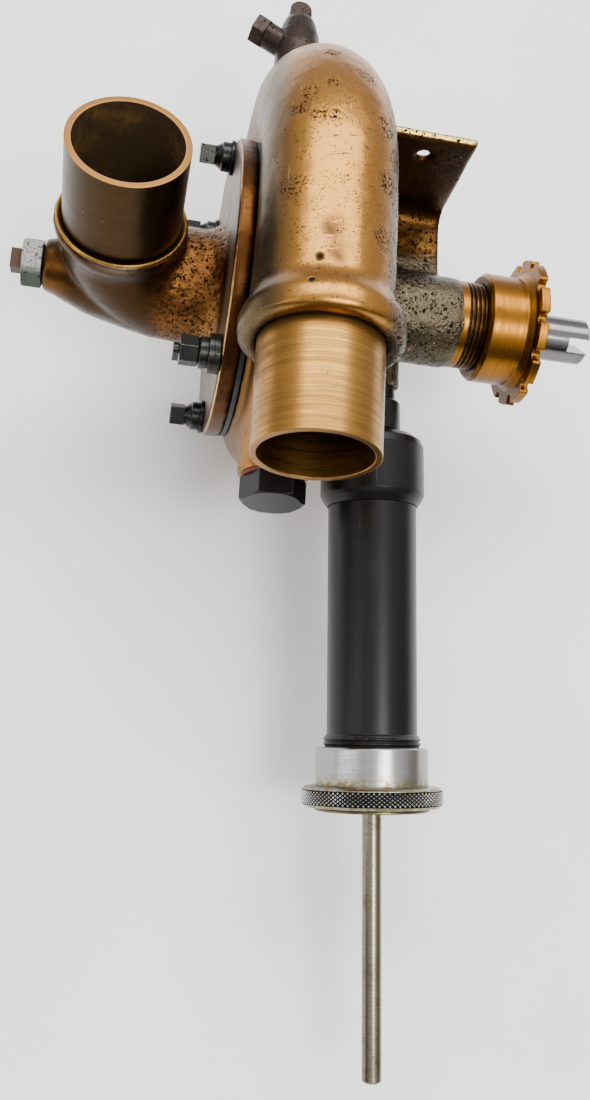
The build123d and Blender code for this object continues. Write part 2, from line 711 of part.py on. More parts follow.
with BuildPart() as greaser_coupling:
    coupling_outline = (
        (6, 33),
        (8.6, 33),
        (9.65, 34),
        (9.65, 43.8),
        (8.9, 44.6),
        (7, 44.6),
        (7, 50),
        (GREASE_HOLE_R, 50),
        (GREASE_HOLE_R, 40.1),
        (6, 40.1),
    )
    revolve(half_section(GREASER, *coupling_outline), axis=centre_line(GREASER))
save(greaser_coupling, "greaser_coupling")

with BuildPart() as greaser_head:
    head_outline = (
        (7, 44.7),
        (10.2, 44.7),
        (14.2, 45.8),
        (16.9, 47.8),
        (17.8, 50.2),
        (17.8, 66.6),
        (17.1, 68),
        (15.4, 70.4),
        (14.2, 70.4),
        (14.2, 58.5),
        (12.6, 58.5),
        (12.6, 53),
        (7, 51),
    )
    revolve(half_section(GREASER, *head_outline), axis=centre_line(GREASER))
save(greaser_head, "greaser_head")

with BuildPart() as greaser_barrel:
    barrel_outline = (
        (BARREL_BORE_R, 58.6),
        (14.2, 58.6),
        (14.2, 70.5),
        (BARREL_R, 70.5),
        (BARREL_R, 147.2),
        (BARREL_R + 0.6, 147.8),
        (BARREL_R + 0.6, 162),
        (BARREL_BORE_R, 162),
    )
    revolve(half_section(GREASER, *barrel_outline), axis=centre_line(GREASER))
save(greaser_barrel, "greaser_barrel")

CAP_LOW, CAP_KNURL, CAP_END = 151.5, 164.1, 170.7
with BuildPart() as greaser_cap:
    cap_outline = (
        (BARREL_R + 0.6 + FIT, CAP_LOW),
        (18.2, CAP_LOW),
        (18.6, CAP_LOW + 0.5),
        (18.6, CAP_KNURL - 0.4),
        (22.2, CAP_KNURL),
        (23.0, CAP_KNURL + 0.7),
        (23.0, CAP_END - 0.9),
        (22.1, CAP_END),
        (10.4, CAP_END),
        (10.4, 167),
        (BARREL_R + 0.6 + FIT, 167),
    )
    revolve(half_section(GREASER, *cap_outline), axis=centre_line(GREASER))
save(greaser_cap, "greaser_cap")

with BuildPart() as rod_guide:
    guide_outline = (
        (ROD_R + 0.1, 166.9),
        (10.3, 166.9),
        (10.3, CAP_END + 0.1),
        (18.6, CAP_END + 0.1),
        (19.0, CAP_END + 0.5),
        (19.0, CAP_END + 1.0),
        (18.6, CAP_END + 1.3),
        (ROD_R + 0.1, CAP_END + 1.3),
    )
    revolve(half_section(GREASER, *guide_outline), axis=centre_line(GREASER))
save(rod_guide, "rod_guide")

ROD_TIP, ROD_OUT = 122.0, 256.0
with BuildPart() as piston_rod:
    rod_outline = (
        (0, ROD_TIP),
        (ROD_R, ROD_TIP),
        (ROD_R, ROD_OUT - 0.6),
        (ROD_R - 0.6, ROD_OUT),
        (0, ROD_OUT),
    )
    revolve(half_section(GREASER, *rod_outline), axis=centre_line(GREASER))
save(piston_rod, "piston_rod")

with BuildPart() as grease_piston:
    piston_ring = ring(ROD_R, BARREL_BORE_R - 0.15, 128.4, 135)
    revolve(half_section(GREASER, *piston_ring), axis=centre_line(GREASER))
save(grease_piston, "grease_piston")

with BuildPart() as piston_cup:
    cup_outline = (
        (ROD_R, 126.4),
        (11, 126.4),
        (11, 124),
        (BARREL_BORE_R - FIT, 124),
        (BARREL_BORE_R - FIT, 128.3),
        (ROD_R, 128.3),
    )
    revolve(half_section(GREASER, *cup_outline), axis=centre_line(GREASER))
save(piston_cup, "piston_cup")

with BuildPart() as piston_nut:
    extrude(hexagon(GREASER, 122.6, 10), amount=3.7)
    extrude(circle_at(GREASER, 122, ROD_R), amount=5, mode=Mode.SUBTRACT)
save(piston_nut, "piston_nut")

with BuildPart() as piston_spring:
    spring_low, spring_high = 136.0, 165.9
    with BuildLine() as coil:
        Helix(
            pitch=(spring_high - spring_low) / SPRING_TURNS,
            height=spring_high - spring_low,
            radius=SPRING_R,
            center=GREASER.offset(spring_low).origin,
            direction=GREASER.z_dir,
        )
    with BuildSketch(Plane(origin=coil.line @ 0, z_dir=coil.line % 0)):
        Circle(SPRING_WIRE_R)
    sweep(path=coil.line)
save(piston_spring, "piston_spring")
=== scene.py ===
"""Finishes, fine turned detail and a plain stage for a bronze centrifugal pump with a greaser."""

import math

import bpy
from bpy.props import FloatProperty, FloatVectorProperty, IntProperty, PointerProperty
from mathutils import Matrix, Vector


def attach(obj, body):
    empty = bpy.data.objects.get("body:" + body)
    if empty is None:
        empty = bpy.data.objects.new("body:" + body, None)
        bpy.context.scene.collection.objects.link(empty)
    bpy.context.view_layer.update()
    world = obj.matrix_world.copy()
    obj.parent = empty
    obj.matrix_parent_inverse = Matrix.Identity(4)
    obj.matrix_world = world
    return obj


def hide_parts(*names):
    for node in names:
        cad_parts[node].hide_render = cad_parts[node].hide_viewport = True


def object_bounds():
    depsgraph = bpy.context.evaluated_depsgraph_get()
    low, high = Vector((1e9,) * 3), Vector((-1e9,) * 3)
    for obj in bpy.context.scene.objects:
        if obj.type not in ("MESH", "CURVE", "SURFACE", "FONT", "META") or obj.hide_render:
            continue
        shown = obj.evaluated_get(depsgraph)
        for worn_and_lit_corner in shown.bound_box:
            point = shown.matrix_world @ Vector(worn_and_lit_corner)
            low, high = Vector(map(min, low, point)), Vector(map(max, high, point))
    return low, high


bl_info = {
    "name": "Bronze Pump",
    "version": (1, 0, 0),
    "blender": (4, 5, 0),
    "location": "View3D > Sidebar > Pump",
    "description": "Finishes and fine detail of a bronze centrifugal pump with its greaser",
    "category": "Object",
}

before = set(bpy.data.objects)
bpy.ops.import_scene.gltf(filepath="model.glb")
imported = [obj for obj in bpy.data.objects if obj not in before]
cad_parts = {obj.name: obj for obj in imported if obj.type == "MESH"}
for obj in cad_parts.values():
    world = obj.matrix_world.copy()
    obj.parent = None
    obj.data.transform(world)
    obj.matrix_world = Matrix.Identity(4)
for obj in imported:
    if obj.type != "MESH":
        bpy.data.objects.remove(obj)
CAD_BOX = [list(worn_and_lit_corner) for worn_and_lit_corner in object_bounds()]
MM = 0.001


# ---------------------------------------------------------------- where the turned pieces stand
def standing(origin, along):
    """A placing matrix: Z of a turned piece goes along a direction, from an origin."""
    z = Vector(along).normalized()
    x = Vector((1, 0, 0)) if abs(z.x) < 0.9 else Vector((0, 1, 0))
    x = (x - z * x.dot(z)).normalized()
    place = Matrix((x, z.cross(x), z)).transposed().to_4x4()
    place.translation = Vector(origin)
    return place


LEAN = math.radians(11.8)  # of the suction tube, towards +Y
BACK, OUT = math.radians(8.0), math.radians(3.8)  # of the greaser, towards -Z and +X
DUCT_X, DUCT_Z = -84.3, 54.0  # the discharge duct's axis, in millimetres
SUCTION_X, GREASER_X = -145.7, -56.0
SHAFT = standing((0, 0, 0), (1, 0, 0))
DUCT = standing((DUCT_X * MM, 0, DUCT_Z * MM), (0, -1, 0))
SUCTION = standing((SUCTION_X * MM, 0, 0), (0, math.sin(LEAN), math.cos(LEAN)))
GREASER = standing(
    (GREASER_X * MM, 0, 0),
    (math.sin(OUT), -math.cos(OUT) * math.cos(BACK), -math.cos(OUT) * math.sin(BACK)),
)

POROUS_PATCHES = (  # middle and radius of each cluster of blowholes, in millimetres
    ((-97.3, 23.0, 70.1), 4.5),
    ((-94.4, 28.5, 71.0), 5.0),
    ((-92.0, 19.6, 73.4), 3.8),
    ((-87.4, 50.3, 64.1), 4.5),
    ((-88.0, 32.6, 72.0), 3.2),
    ((-87.5, 19.0, 74.6), 3.0),
    ((-76.8, 40.4, 67.8), 5.0),
    ((-70.6, 21.6, 69.5), 5.5),
    ((-70.0, 2.0, 69.5), 6.0),
    ((-71.0, -17.4, 70.4), 5.5),
    ((-98.5, -4.3, 70.0), 6.0),
)
MARKS = (  # single round marks on the duct and its bead
    ((-89.9, -28.7, 74.5), 1.7),
    ((-92.2, -38.0, 77.0), 1.5),
)
RUBBED_PATCHES = (  # middle and radius of each rubbed patch on the duct
    ((-85.5, -19.0, 75.0), 6.0),
    ((-83.5, -26.5, 75.0), 5.5),
    ((-81.5, -3.5, 75.0), 4.5),
)
PATCH_CORE = 0.35  # share of a patch's radius that is fully covered
SCRUB = standing((0, 0, 0), (1, 0.18, 0))  # the way the casing's scrubbing marks run
AGE_DEPTH, AGE_SHARE = 1.2, 0.7  # how much age deepens and darkens every finish
GROOVE_SHADE = (0.05, 0.03, 0.015, 1)  # colour in the turning marks

# outlines are (radius, height) on the piece's own axis, in millimetres
LIP_OUTLINE = ((19.1, 26.0), (20.9, 26.0), (21.1, 26.5), (20.6, 27.2), (19.9, 27.0), (19.1, 26.6))
BAND_OUTLINE = (
    (13.0, -28.4), (15.1, -28.4), (15.35, -28.15), (15.35, -24.9), (15.1, -24.6), (13.0, -24.6),
)
LUMP_LAYERS = ((9.0, 1.0), (2.6, 0.45))  # size of the mould's lumps in millimetres, share of their depth
WATERWAY_R, WATERWAY_Y = 19.6, (-47, 14)  # the dark inside of the duct, in millimetres
KNURL_LOW, KNURL_HIGH, KNURL_R, KNURL_ROWS = 164.95, 169.75, 23.02, 4  # the cap's knurled band
KNURL_GROOVE, KNURL_FACE = 0.00012, 0.35e-6  # half a groove's width in m, a diamond's least area in m2
KNURL_HEM = 0.93  # how far the band's open ends turn in, as a scale

FLOOR_SIZE, FLOOR_DROP = 9.0, 0.0002  # in metres; the floor lies just under the lowest piece
MIDDLE = (-0.10, -0.08, 0.0)  # where every light is aimed
LIGHTS = (  # name, place, size and the setting with its power
    ("window", (-0.12, 0.55, 0.85), (1.3, 0.5), "key_power"),
    ("lamp", (0.16, -0.42, 0.95), (0.42, 0.28), "lamp_power"),
    ("left", (-0.75, -0.25, 0.30), (0.07, 0.7), "fill_power"),
)
CAMERA_RIGHT, CAMERA_UP = Vector((0.9801, 0.0509, 0.1918)), Vector((-0.1061, 0.9511, 0.29))


# ---------------------------------------------------------------- modelling
def only(piece):
    """Selects one piece and nothing else."""
    bpy.ops.object.select_all(action="DESELECT")
    piece.select_set(True)
    bpy.context.view_layer.objects.active = piece


def use_modifier(piece, kind, **settings):
    """Adds a modifier with its settings and applies it."""
    only(piece)
    modifier = piece.modifiers.new(kind.title(), kind)
    for key, value in settings.items():
        setattr(modifier, key, value)
    bpy.ops.object.modifier_apply(modifier=modifier.name)


def turned(name, outline, place, steps=96):
    """A closed ring, turned from a closed outline of (radius, height) points in millimetres."""
    bpy.ops.object.select_all(action="DESELECT")
    bpy.ops.mesh.primitive_circle_add(vertices=len(outline), radius=0.01, fill_type="NOTHING")
    piece = bpy.context.active_object
    piece.name = name
    for vertex, (radius, height) in zip(piece.data.vertices, outline):
        vertex.co = (radius * MM, 0, height * MM)
    bpy.ops.object.mode_set(mode="EDIT")
    bpy.ops.mesh.select_all(action="SELECT")
    bpy.ops.mesh.spin(steps=steps, angle=math.tau, center=(0, 0, 0), axis=(0, 0, 1))
    bpy.ops.mesh.select_all(action="SELECT")
    bpy.ops.mesh.remove_doubles(threshold=1e-6)
    bpy.ops.mesh.normals_make_consistent(inside=False)
    bpy.ops.object.mode_set(mode="OBJECT")
    piece.data.transform(place)
    only(piece)
    bpy.ops.object.shade_smooth_by_angle(angle=math.radians(28))
    return piece


def screw_thread(name, root, crest, low, high, pitch, place, steps=72):
    """A run of thread ridges over a plain stub, closed at its root."""
    outline = [(root - 0.6, low), (root, low)]
    ridge = low + 0.15 * pitch
    while ridge + 0.9 * pitch < high:
        outline += [(root, ridge), (crest, ridge + 0.36 * pitch), (crest, ridge + 0.5 * pitch)]
        outline += [(root, ridge + 0.86 * pitch)]
        ridge += pitch
    outline += [(root, high), (root - 0.6, high)]
    return turned(name, outline, place, steps)


def cast_skin(name, node, voxel, soften, roughen):
    """A casting's skin: the CAD solid with its corners softened and its face slightly uneven."""
    skin = bpy.data.objects.new(name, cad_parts[node].data.copy())
    bpy.context.scene.collection.objects.link(skin)
    skin.data.materials.clear()
    only(skin)
    bpy.ops.object.mode_set(mode="EDIT")
    bpy.ops.mesh.select_all(action="SELECT")
    bpy.ops.mesh.remove_doubles(threshold=1e-6)
    bpy.ops.object.mode_set(mode="OBJECT")
    use_modifier(skin, "REMESH", mode="VOXEL", voxel_size=voxel * MM)
    use_modifier(skin, "SMOOTH", factor=0.5, iterations=soften)
    for size, share in LUMP_LAYERS:
        lumps = bpy.data.textures.new(f"{name}_lumps", "CLOUDS")
        lumps.noise_scale = size * MM
        lumps.noise_depth = 1
        use_modifier(skin, "DISPLACE", texture=lumps, strength=roughen * share * MM, mid_level=0.5)
    only(skin)
    bpy.ops.object.shade_smooth_by_angle(angle=math.radians(60))
    return skin


# ---------------------------------------------------------------- shader nodes
def add(tree, kind, sockets=None, **settings):
    """Adds a node; a socket's value may be another node's output."""
    made = tree.nodes.new(kind)
    for key, value in settings.items():
        setattr(made, key, value)
    for key, value in (sockets or {}).items():
        if isinstance(value, bpy.types.NodeSocket):
            tree.links.new(value, made.inputs[key])
        else:
            made.inputs[key].default_value = value
    return made


def maths(tree, operation, *values):
    """One Math node's output."""
    return add(tree, "ShaderNodeMath", dict(enumerate(values)), operation=operation).outputs[0]


def ramp(tree, value, low, high, to_low=0.0, to_high=1.0):
    """A value's smooth rise from one level to another."""
    sockets = {0: value, 1: low, 2: high, 3: to_low, 4: to_high}
    made = add(tree, "ShaderNodeMapRange", sockets, interpolation_type="SMOOTHSTEP")
    return made.outputs[0]


def mixed(tree, share, first, second):
    """A colour between two colours."""
    made = add(tree, "ShaderNodeMix", {0: share, 6: first, 7: second}, data_type="RGBA")
    return made.outputs[2]


def between(tree, share, first, second):
    """A number between two numbers."""
    return add(tree, "ShaderNodeMix", {0: share, 2: first, 3: second}).outputs[0]


def noise(tree, vector, scale, detail=3.0, roughness=0.55):
    """Noise over the surface, 0 to 1."""
    sockets = {"Vector": vector, "Scale": scale, "Detail": detail, "Roughness": roughness}
    return add(tree, "ShaderNodeTexNoise", sockets).outputs["Fac"]


def stretched(tree, vector, x, y, z):
    """Coordinates scaled by direction, for marks that run one way."""
    return add(tree, "ShaderNodeVectorMath", {0: vector, 1: (x, y, z)}, operation="MULTIPLY").outputs[0]


def new_group(name, inputs, outputs):
    """An empty shader group with its named sockets."""
    tree = bpy.data.node_groups.new(name, "ShaderNodeTree")
    for title, kind, value in inputs:
        socket = tree.interface.new_socket(title, in_out="INPUT", socket_type=f"NodeSocket{kind}")
        if value is not None:
            socket.default_value = value
    for title, kind in outputs:
        tree.interface.new_socket(title, in_out="OUTPUT", socket_type=f"NodeSocket{kind}")
    taken = tree.nodes.new("NodeGroupInput").outputs
    given = tree.nodes.new("NodeGroupOutput").inputs
    return tree, taken, given


def edge_wear_and_shade_group():
    """Rubbed edges, corners darkened by ambient occlusion as partly soiling and partly painted shade, and a
    normal rounded over both.
    """
    tree, taken, given = new_group(
        "Edge Wear",
        [("Vector", "Vector", None), ("Width", "Float", 0.0006), ("Breakup", "Float", 600.0)],
        [("Wear", "Float"), ("Dirt", "Float"), ("Normal", "Vector")],
    )
    rounded = add(tree, "ShaderNodeBevel", {"Radius": taken["Width"]}, samples=6).outputs[0]
    true = add(tree, "ShaderNodeNewGeometry").outputs["Normal"]
    dot = add(tree, "ShaderNodeVectorMath", {0: rounded, 1: true}, operation="DOT_PRODUCT")
    turn = maths(tree, "SUBTRACT", 1.0, dot.outputs["Value"])
    reach = maths(tree, "MULTIPLY", taken["Width"], 4.0)
    open_air = add(tree, "ShaderNodeAmbientOcclusion", {"Distance": reach}, samples=6)
    outer = ramp(tree, open_air.outputs["AO"], 0.72, 0.95)
    patchy = ramp(tree, noise(tree, taken["Vector"], taken["Breakup"]), 0.35, 0.62)
    rubbed = maths(tree, "MULTIPLY", ramp(tree, turn, 0.01, 0.12), outer)
    tree.links.new(maths(tree, "MULTIPLY", rubbed, patchy), given["Wear"])
    # this output darkens the corners by ambient occlusion: partly soiling, partly painted shade
    tree.links.new(ramp(tree, open_air.outputs["AO"], 0.85, 0.3), given["Dirt"])
    tree.links.new(rounded, given["Normal"])
    return tree


def pits_group():
    """Small ragged blowholes that gather in clusters."""
    tree, taken, given = new_group(
        "Casting Pits",
        [("Vector", "Vector", None), ("Scale", "Float", 700.0), ("Size", "Float", 0.3),
         ("Spread", "Float", 0.5)],
        [("Pit", "Float")],
    )
    finer = maths(tree, "MULTIPLY", taken["Scale"], 1.3)
    warp = add(tree, "ShaderNodeTexNoise", {"Vector": taken["Vector"], "Scale": finer, "Detail": 2.0})
    ragged = add(
        tree, "ShaderNodeVectorMath", {0: warp.outputs["Color"], 1: (0.5, 0.5, 0.5)}, operation="SUBTRACT"
    )
    reach = add(tree, "ShaderNodeVectorMath", {0: ragged.outputs[0]}, operation="SCALE")
    tree.links.new(maths(tree, "DIVIDE", 1.9, taken["Scale"]), reach.inputs["Scale"])
    moved = add(tree, "ShaderNodeVectorMath", {0: taken["Vector"], 1: reach.outputs[0]}, operation="ADD")
    cells = add(tree, "ShaderNodeTexVoronoi", {"Vector": moved.outputs[0], "Scale": taken["Scale"]})
    sized = maths(tree, "MULTIPLY", taken["Size"], cells.outputs["Color"])
    depth = maths(tree, "SUBTRACT", sized, cells.outputs["Distance"])
    hole = ramp(tree, depth, -0.02, 0.07)
    patch = noise(tree, taken["Vector"], maths(tree, "MULTIPLY", taken["Scale"], 0.13), 2.0)
    start = maths(tree, "SUBTRACT", 0.8, maths(tree, "MULTIPLY", taken["Spread"], 0.5))
    near = ramp(tree, patch, start, maths(tree, "ADD", start, 0.08))
    tree.links.new(maths(tree, "MULTIPLY", hole, near), given["Pit"])
    return tree


def tarnish_group():
    """Cloudy patches, from clean at 0 to stained at 1."""
    tree, taken, given = new_group(
        "Tarnish",
        [("Vector", "Vector", None), ("Scale", "Float", 40.0), ("Cover", "Float", 0.5)],
        [("Stain", "Float"), ("Fine", "Float")],
    )
    broad = noise(tree, taken["Vector"], taken["Scale"], 4.0, 0.6)
    fine = noise(tree, taken["Vector"], maths(tree, "MULTIPLY", taken["Scale"], 9.0), 4.0, 0.65)
    both = maths(tree, "ADD", maths(tree, "MULTIPLY", broad, 0.72), maths(tree, "MULTIPLY", fine, 0.28))
    start = maths(tree, "SUBTRACT", 0.68, maths(tree, "MULTIPLY", taken["Cover"], 0.36))
    tree.links.new(ramp(tree, both, start, maths(tree, "ADD", start, 0.2)), given["Stain"])
    tree.links.new(fine, given["Fine"])
    return tree


def tool_marks_group():
    """Fine rings left by turning, across the Z of the coordinates given."""
    tree, taken, given = new_group(
        "Tool Marks", [("Vector", "Vector", None), ("Fineness", "Float", 1.0)], [("Mark", "Float")]
    )
    scaled = add(tree, "ShaderNodeVectorMath", {0: taken["Vector"]}, operation="SCALE")
    tree.links.new(taken["Fineness"], scaled.inputs["Scale"])
    fine = noise(tree, stretched(tree, scaled.outputs[0], 25, 25, 5200), 1.0, 2.0)
    coarse = noise(tree, stretched(tree, scaled.outputs[0], 40, 40, 1300), 1.0, 3.0)
    both = maths(tree, "ADD", maths(tree, "MULTIPLY", fine, 0.45), maths(tree, "MULTIPLY", coarse, 0.55))
    tree.links.new(ramp(tree, both, 0.3, 0.7), given["Mark"])
    return tree


def scratches_group():
    """Sparse scratches along the Z of the coordinates given."""
    tree, taken, given = new_group(
        "Scratches", [("Vector", "Vector", None), ("Amount", "Float", 0.5)], [("Scratch", "Float")]
    )
    lines = noise(tree, stretched(tree, taken["Vector"], 900, 900, 45), 1.0, 2.0)
    where = noise(tree, taken["Vector"], 55.0, 2.0)
    start = maths(tree, "SUBTRACT", 0.74, maths(tree, "MULTIPLY", taken["Amount"], 0.16))
    line = ramp(tree, lines, start, maths(tree, "ADD", start, 0.06))
    tree.links.new(maths(tree, "MULTIPLY", line, ramp(tree, where, 0.42, 0.6)), given["Scratch"])
    return tree


def grouped(tree, name, **sockets):
    """Places a shared group in a material with its own values."""
    return add(tree, "ShaderNodeGroup", sockets, node_tree=bpy.data.node_groups[name]).outputs


def along_axis(tree, place):
    """Object coordinates seen from a turned piece's own axis, which becomes Z."""
    back = place.inverted()
    coordinates = add(tree, "ShaderNodeTexCoord").outputs["Object"]
    sockets = {"Vector": coordinates, "Location": back.translation, "Rotation": back.to_euler()}
    return add(tree, "ShaderNodeMapping", sockets).outputs[0]


def colour(values):
    """A property's colour with full alpha."""
    return (*values[:3], 1.0)


class Metal:
    """One metal finish, built up layer by layer over its Principled shader."""

    def __init__(self, name, clean, stained, rough, metallic=1.0, place=None, scale=40.0, cover=0.5):
        self.material = bpy.data.materials.new(name)
        self.material.use_nodes = True
        self.tree = self.material.node_tree
        self.shader = self.tree.nodes["Principled BSDF"]
        self.metallic = metallic
        tree = self.tree
        self.where = add(tree, "ShaderNodeTexCoord").outputs["Object"]
        self.axis = along_axis(tree, place or Matrix.Identity(4))
        tarnish = grouped(tree, "Tarnish", Vector=self.where, Scale=scale, Cover=cover)
        self.stain, self.fine = tarnish["Stain"], tarnish["Fine"]
        self.tint = mixed(tree, self.stain, colour(clean), colour(stained))
        self.rough = between(tree, self.stain, rough[0], rough[1])
        self.height = maths(tree, "MULTIPLY", self.fine, 0.0)
        self.normal = None

    def near(self, axis, low, high):
        """1 past a place along X, Y or Z, in millimetres."""
        split = add(self.tree, "ShaderNodeSeparateXYZ", {0: self.where}).outputs[axis]
        return ramp(self.tree, split, low * MM, high * MM)

    def height_on_axis(self, low, high):
        """1 past a height on the piece's own axis, in millimetres."""
        split = add(self.tree, "ShaderNodeSeparateXYZ", {0: self.axis}).outputs["Z"]
        return ramp(self.tree, split, low * MM, high * MM)

    def radius_on_axis(self, low, high):
        """1 past a distance from the piece's own axis, in millimetres."""
        flat = stretched(self.tree, self.axis, 1, 1, 0)
        length = add(self.tree, "ShaderNodeVectorMath", {0: flat}, operation="LENGTH")
        return ramp(self.tree, length.outputs["Value"], low * MM, high * MM)

    def within(self, centre, radius):
        """1 inside a patch round a point, in millimetres."""
        point = tuple(value * MM for value in centre)
        gap = add(self.tree, "ShaderNodeVectorMath", {0: self.where, 1: point}, operation="DISTANCE")
        return ramp(self.tree, gap.outputs["Value"], radius * MM, radius * PATCH_CORE * MM)

    def any_of(self, masks):
        """The strongest of several masks."""
        made = masks[0]
        for mask in masks[1:]:
            made = maths(self.tree, "MAXIMUM", made, mask)
        return made

    def both(self, *masks):
        """The product of masks."""
        made = masks[0]
        for mask in masks[1:]:
            made = maths(self.tree, "MULTIPLY", made, mask)
        return made

    def paint(self, mask, values, rough=None, depth=0.0):
        """Lays a colour, a roughness and a height over a mask."""
        tree = self.tree
        self.tint = mixed(tree, mask, self.tint, colour(values))
        if rough is not None:
            self.rough = between(tree, mask, self.rough, rough)
        if depth:
            lift = maths(tree, "MULTIPLY", mask, depth * MM)
            self.height = maths(tree, "ADD", self.height, lift)

    def pits(self, values, scale=700.0, size=0.3, spread=0.5, depth=0.25, mask=None):
        """Blowholes of a colour."""
        pit = grouped(self.tree, "Casting Pits", Vector=self.where, Scale=scale, Size=size, Spread=spread)
        pit = pit["Pit"]
        if mask is not None:
            pit = self.both(pit, mask)
        self.paint(pit, values, 0.75, -depth)

    def marks(self, shade, fineness=1.0, depth=0.01, rough=0.12, mask=None):
        """Turning marks that shade, roughen and groove."""
        tree = self.tree
        mark = grouped(tree, "Tool Marks", Vector=self.axis, Fineness=fineness)["Mark"]
        if mask is not None:
            mark = self.both(mark, mask)
        self.tint = mixed(tree, maths(tree, "MULTIPLY", mark, shade), self.tint, GROOVE_SHADE)
        self.rough = maths(tree, "ADD", self.rough, maths(tree, "MULTIPLY", mark, rough))
        self.height = maths(tree, "SUBTRACT", self.height, maths(tree, "MULTIPLY", mark, depth * MM))

    def scratches(self, values, amount=0.5, depth=0.03, place=None, rough=0.4, mask=None):
        """Scratches of a colour along an axis."""
        vector = along_axis(self.tree, place) if place else self.axis
        line = grouped(self.tree, "Scratches", Vector=vector, Amount=amount)["Scratch"]
        if mask is not None:
            line = self.both(line, mask)
        self.paint(line, values, rough, -depth)

    def grain(self, scale, depth):
        """An even cast or ground grain."""
        tree = self.tree
        rise = maths(tree, "MULTIPLY", noise(tree, self.where, scale, 4.0, 0.6), depth * MM)
        self.height = maths(tree, "ADD", self.height, rise)

    def edges(self, width=0.6, worn=None, dirt_and_shade=None, wear=0.8, dirt_and_shade_share=0.6, rough=0.28, breakup=600.0):
        """Rounded edges, rubbed bright outside; their inside corners darkened by ambient occlusion, partly
        soiling and partly painted shade.
        """
        tree = self.tree
        edge = grouped(tree, "Edge Wear", Vector=self.where, Width=width * MM, Breakup=breakup)
        # corners darkened by ambient occlusion: partly soiling, partly painted shade
        if dirt_and_shade is not None:
            self.paint(maths(tree, "MULTIPLY", edge["Dirt"], dirt_and_shade_share), dirt_and_shade, 0.65)
        if worn is not None:
            self.paint(maths(tree, "MULTIPLY", edge["Wear"], wear), worn, rough)
        self.normal = edge["Normal"]

    def done(self, shine=0.5):
        """Joins the layers to the shader, a little darker and deeper for their age."""
        tree = self.tree
        if isinstance(self.metallic, bpy.types.NodeSocket):
            tree.links.new(self.metallic, self.shader.inputs["Metallic"])
        else:
            self.shader.inputs["Metallic"].default_value = self.metallic
        aged = add(tree, "ShaderNodeGamma", {"Color": self.tint, "Gamma": AGE_DEPTH}).outputs[0]
        tree.links.new(mixed(tree, AGE_SHARE, (0, 0, 0, 1), aged), self.shader.inputs["Base Color"])
        tree.links.new(self.rough, self.shader.inputs["Roughness"])
        self.shader.inputs["Specular IOR Level"].default_value = shine
        bump = add(tree, "ShaderNodeBump", {"Height": self.height, "Strength": 1.0, "Distance": 1.0})
        if self.normal is not None:
            tree.links.new(self.normal, bump.inputs["Normal"])
        tree.links.new(bump.outputs[0], self.shader.inputs["Normal"])
        return self.material


def wear(piece, material):
    """Gives a piece or a CAD node its finish."""
    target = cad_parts[piece] if isinstance(piece, str) else piece
    if not target.material_slots:
        target.data.materials.append(material)
    for held in target.material_slots:
        held.material = material


# ---------------------------------------------------------------- what a user would change
def tint(name, description, default):
    """A colour property."""
    return FloatVectorProperty(
        name=name, description=description, default=default, size=3, min=0, max=1, subtype="COLOR"
    )


def length(name, description, default, low, high):
    """A length property, with its values given in millimetres."""
    return FloatProperty(
        name=name, description=description, default=default * MM,
        min=low * MM, max=high * MM, unit="LENGTH", precision=5,
    )


def power(name, description, default):
    """The power of a light."""
    return FloatProperty(name=name, description=description, default=default, min=0, unit="POWER")


class BronzeSettings(bpy.types.PropertyGroup):
    """Colours and surface of the cast and turned bronze."""

    golden: tint("Golden", "Clean cast bronze of the casing", (0.57, 0.305, 0.085))
    brown: tint("Brown", "Stained cast bronze of the casing", (0.40, 0.205, 0.056))
    old: tint("Old", "Darkened bronze of the suction side", (0.085, 0.045, 0.017))
    copper: tint("Copper", "Coppery patches and rims", (0.58, 0.31, 0.105))
    bright: tint("Bright", "Rubbed and turned bronze", (0.82, 0.49, 0.18))
    # dark colour of the pits and of the corners darkened by ambient occlusion; in the corners it is partly
    # painted shade
    grime_and_shade: tint("Grime and shade", "Dirt in pits and corners", (0.022, 0.016, 0.010))
    skin_grain: length("Skin grain", "Grid size of the casting skins", 1.2, 0.5, 3)
    unevenness: length("Unevenness", "Depth of the lumps left by the mould", 0.35, 0, 1)


class SteelSettings(bpy.types.PropertyGroup):
    """Colours of the steel and aluminium pieces."""

    black: tint("Black", "Blackened steel", (0.008, 0.0095, 0.010))
    plated: tint("Plated", "Dull plating of the lock nut", (0.12, 0.145, 0.125))
    ground: tint("Ground", "Ground shaft steel", (0.30, 0.30, 0.295))
    rod: tint("Rod", "Greasy piston rod", (0.36, 0.33, 0.25))
    rust: tint("Rust", "Oxidised screw end", (0.10, 0.055, 0.028))
    aluminium: tint("Aluminium", "Turned cap", (0.52, 0.52, 0.51))


class DetailSettings(bpy.types.PropertyGroup):
    """Sizes of the threads and of the knurl."""

    gland_pitch: length("Gland pitch", "Pitch of the gland thread", 1.6, 0.5, 3)
    knurl_columns: IntProperty(
        name="Knurl columns", description="Diamonds round the greaser cap", default=86, min=40, max=160
    )
    knurl_depth: length("Knurl depth", "Height of a diamond", 0.55, 0.1, 1)


class StageSettings(bpy.types.PropertyGroup):
    """Floor, light and camera."""

    paper: tint("Paper", "Pale floor", (0.92, 0.92, 0.91))
    key_power: power("Key power", "Main soft light", 15.0)
    lamp_power: power("Lamp power", "Smaller lamp", 7.5)
    fill_power: power("Fill power", "Side light", 1.0)
    room_light: FloatProperty(name="Room light", description="Brightness of the room", default=1.45, min=0)
    camera_place: FloatVectorProperty(
        name="Camera place", description="Where the camera stands", subtype="TRANSLATION",
        default=(-0.140439, -0.202207, 0.342772), unit="LENGTH",
    )
    lens: FloatProperty(name="Lens", description="Focal length in millimetres", default=36.773, min=10)


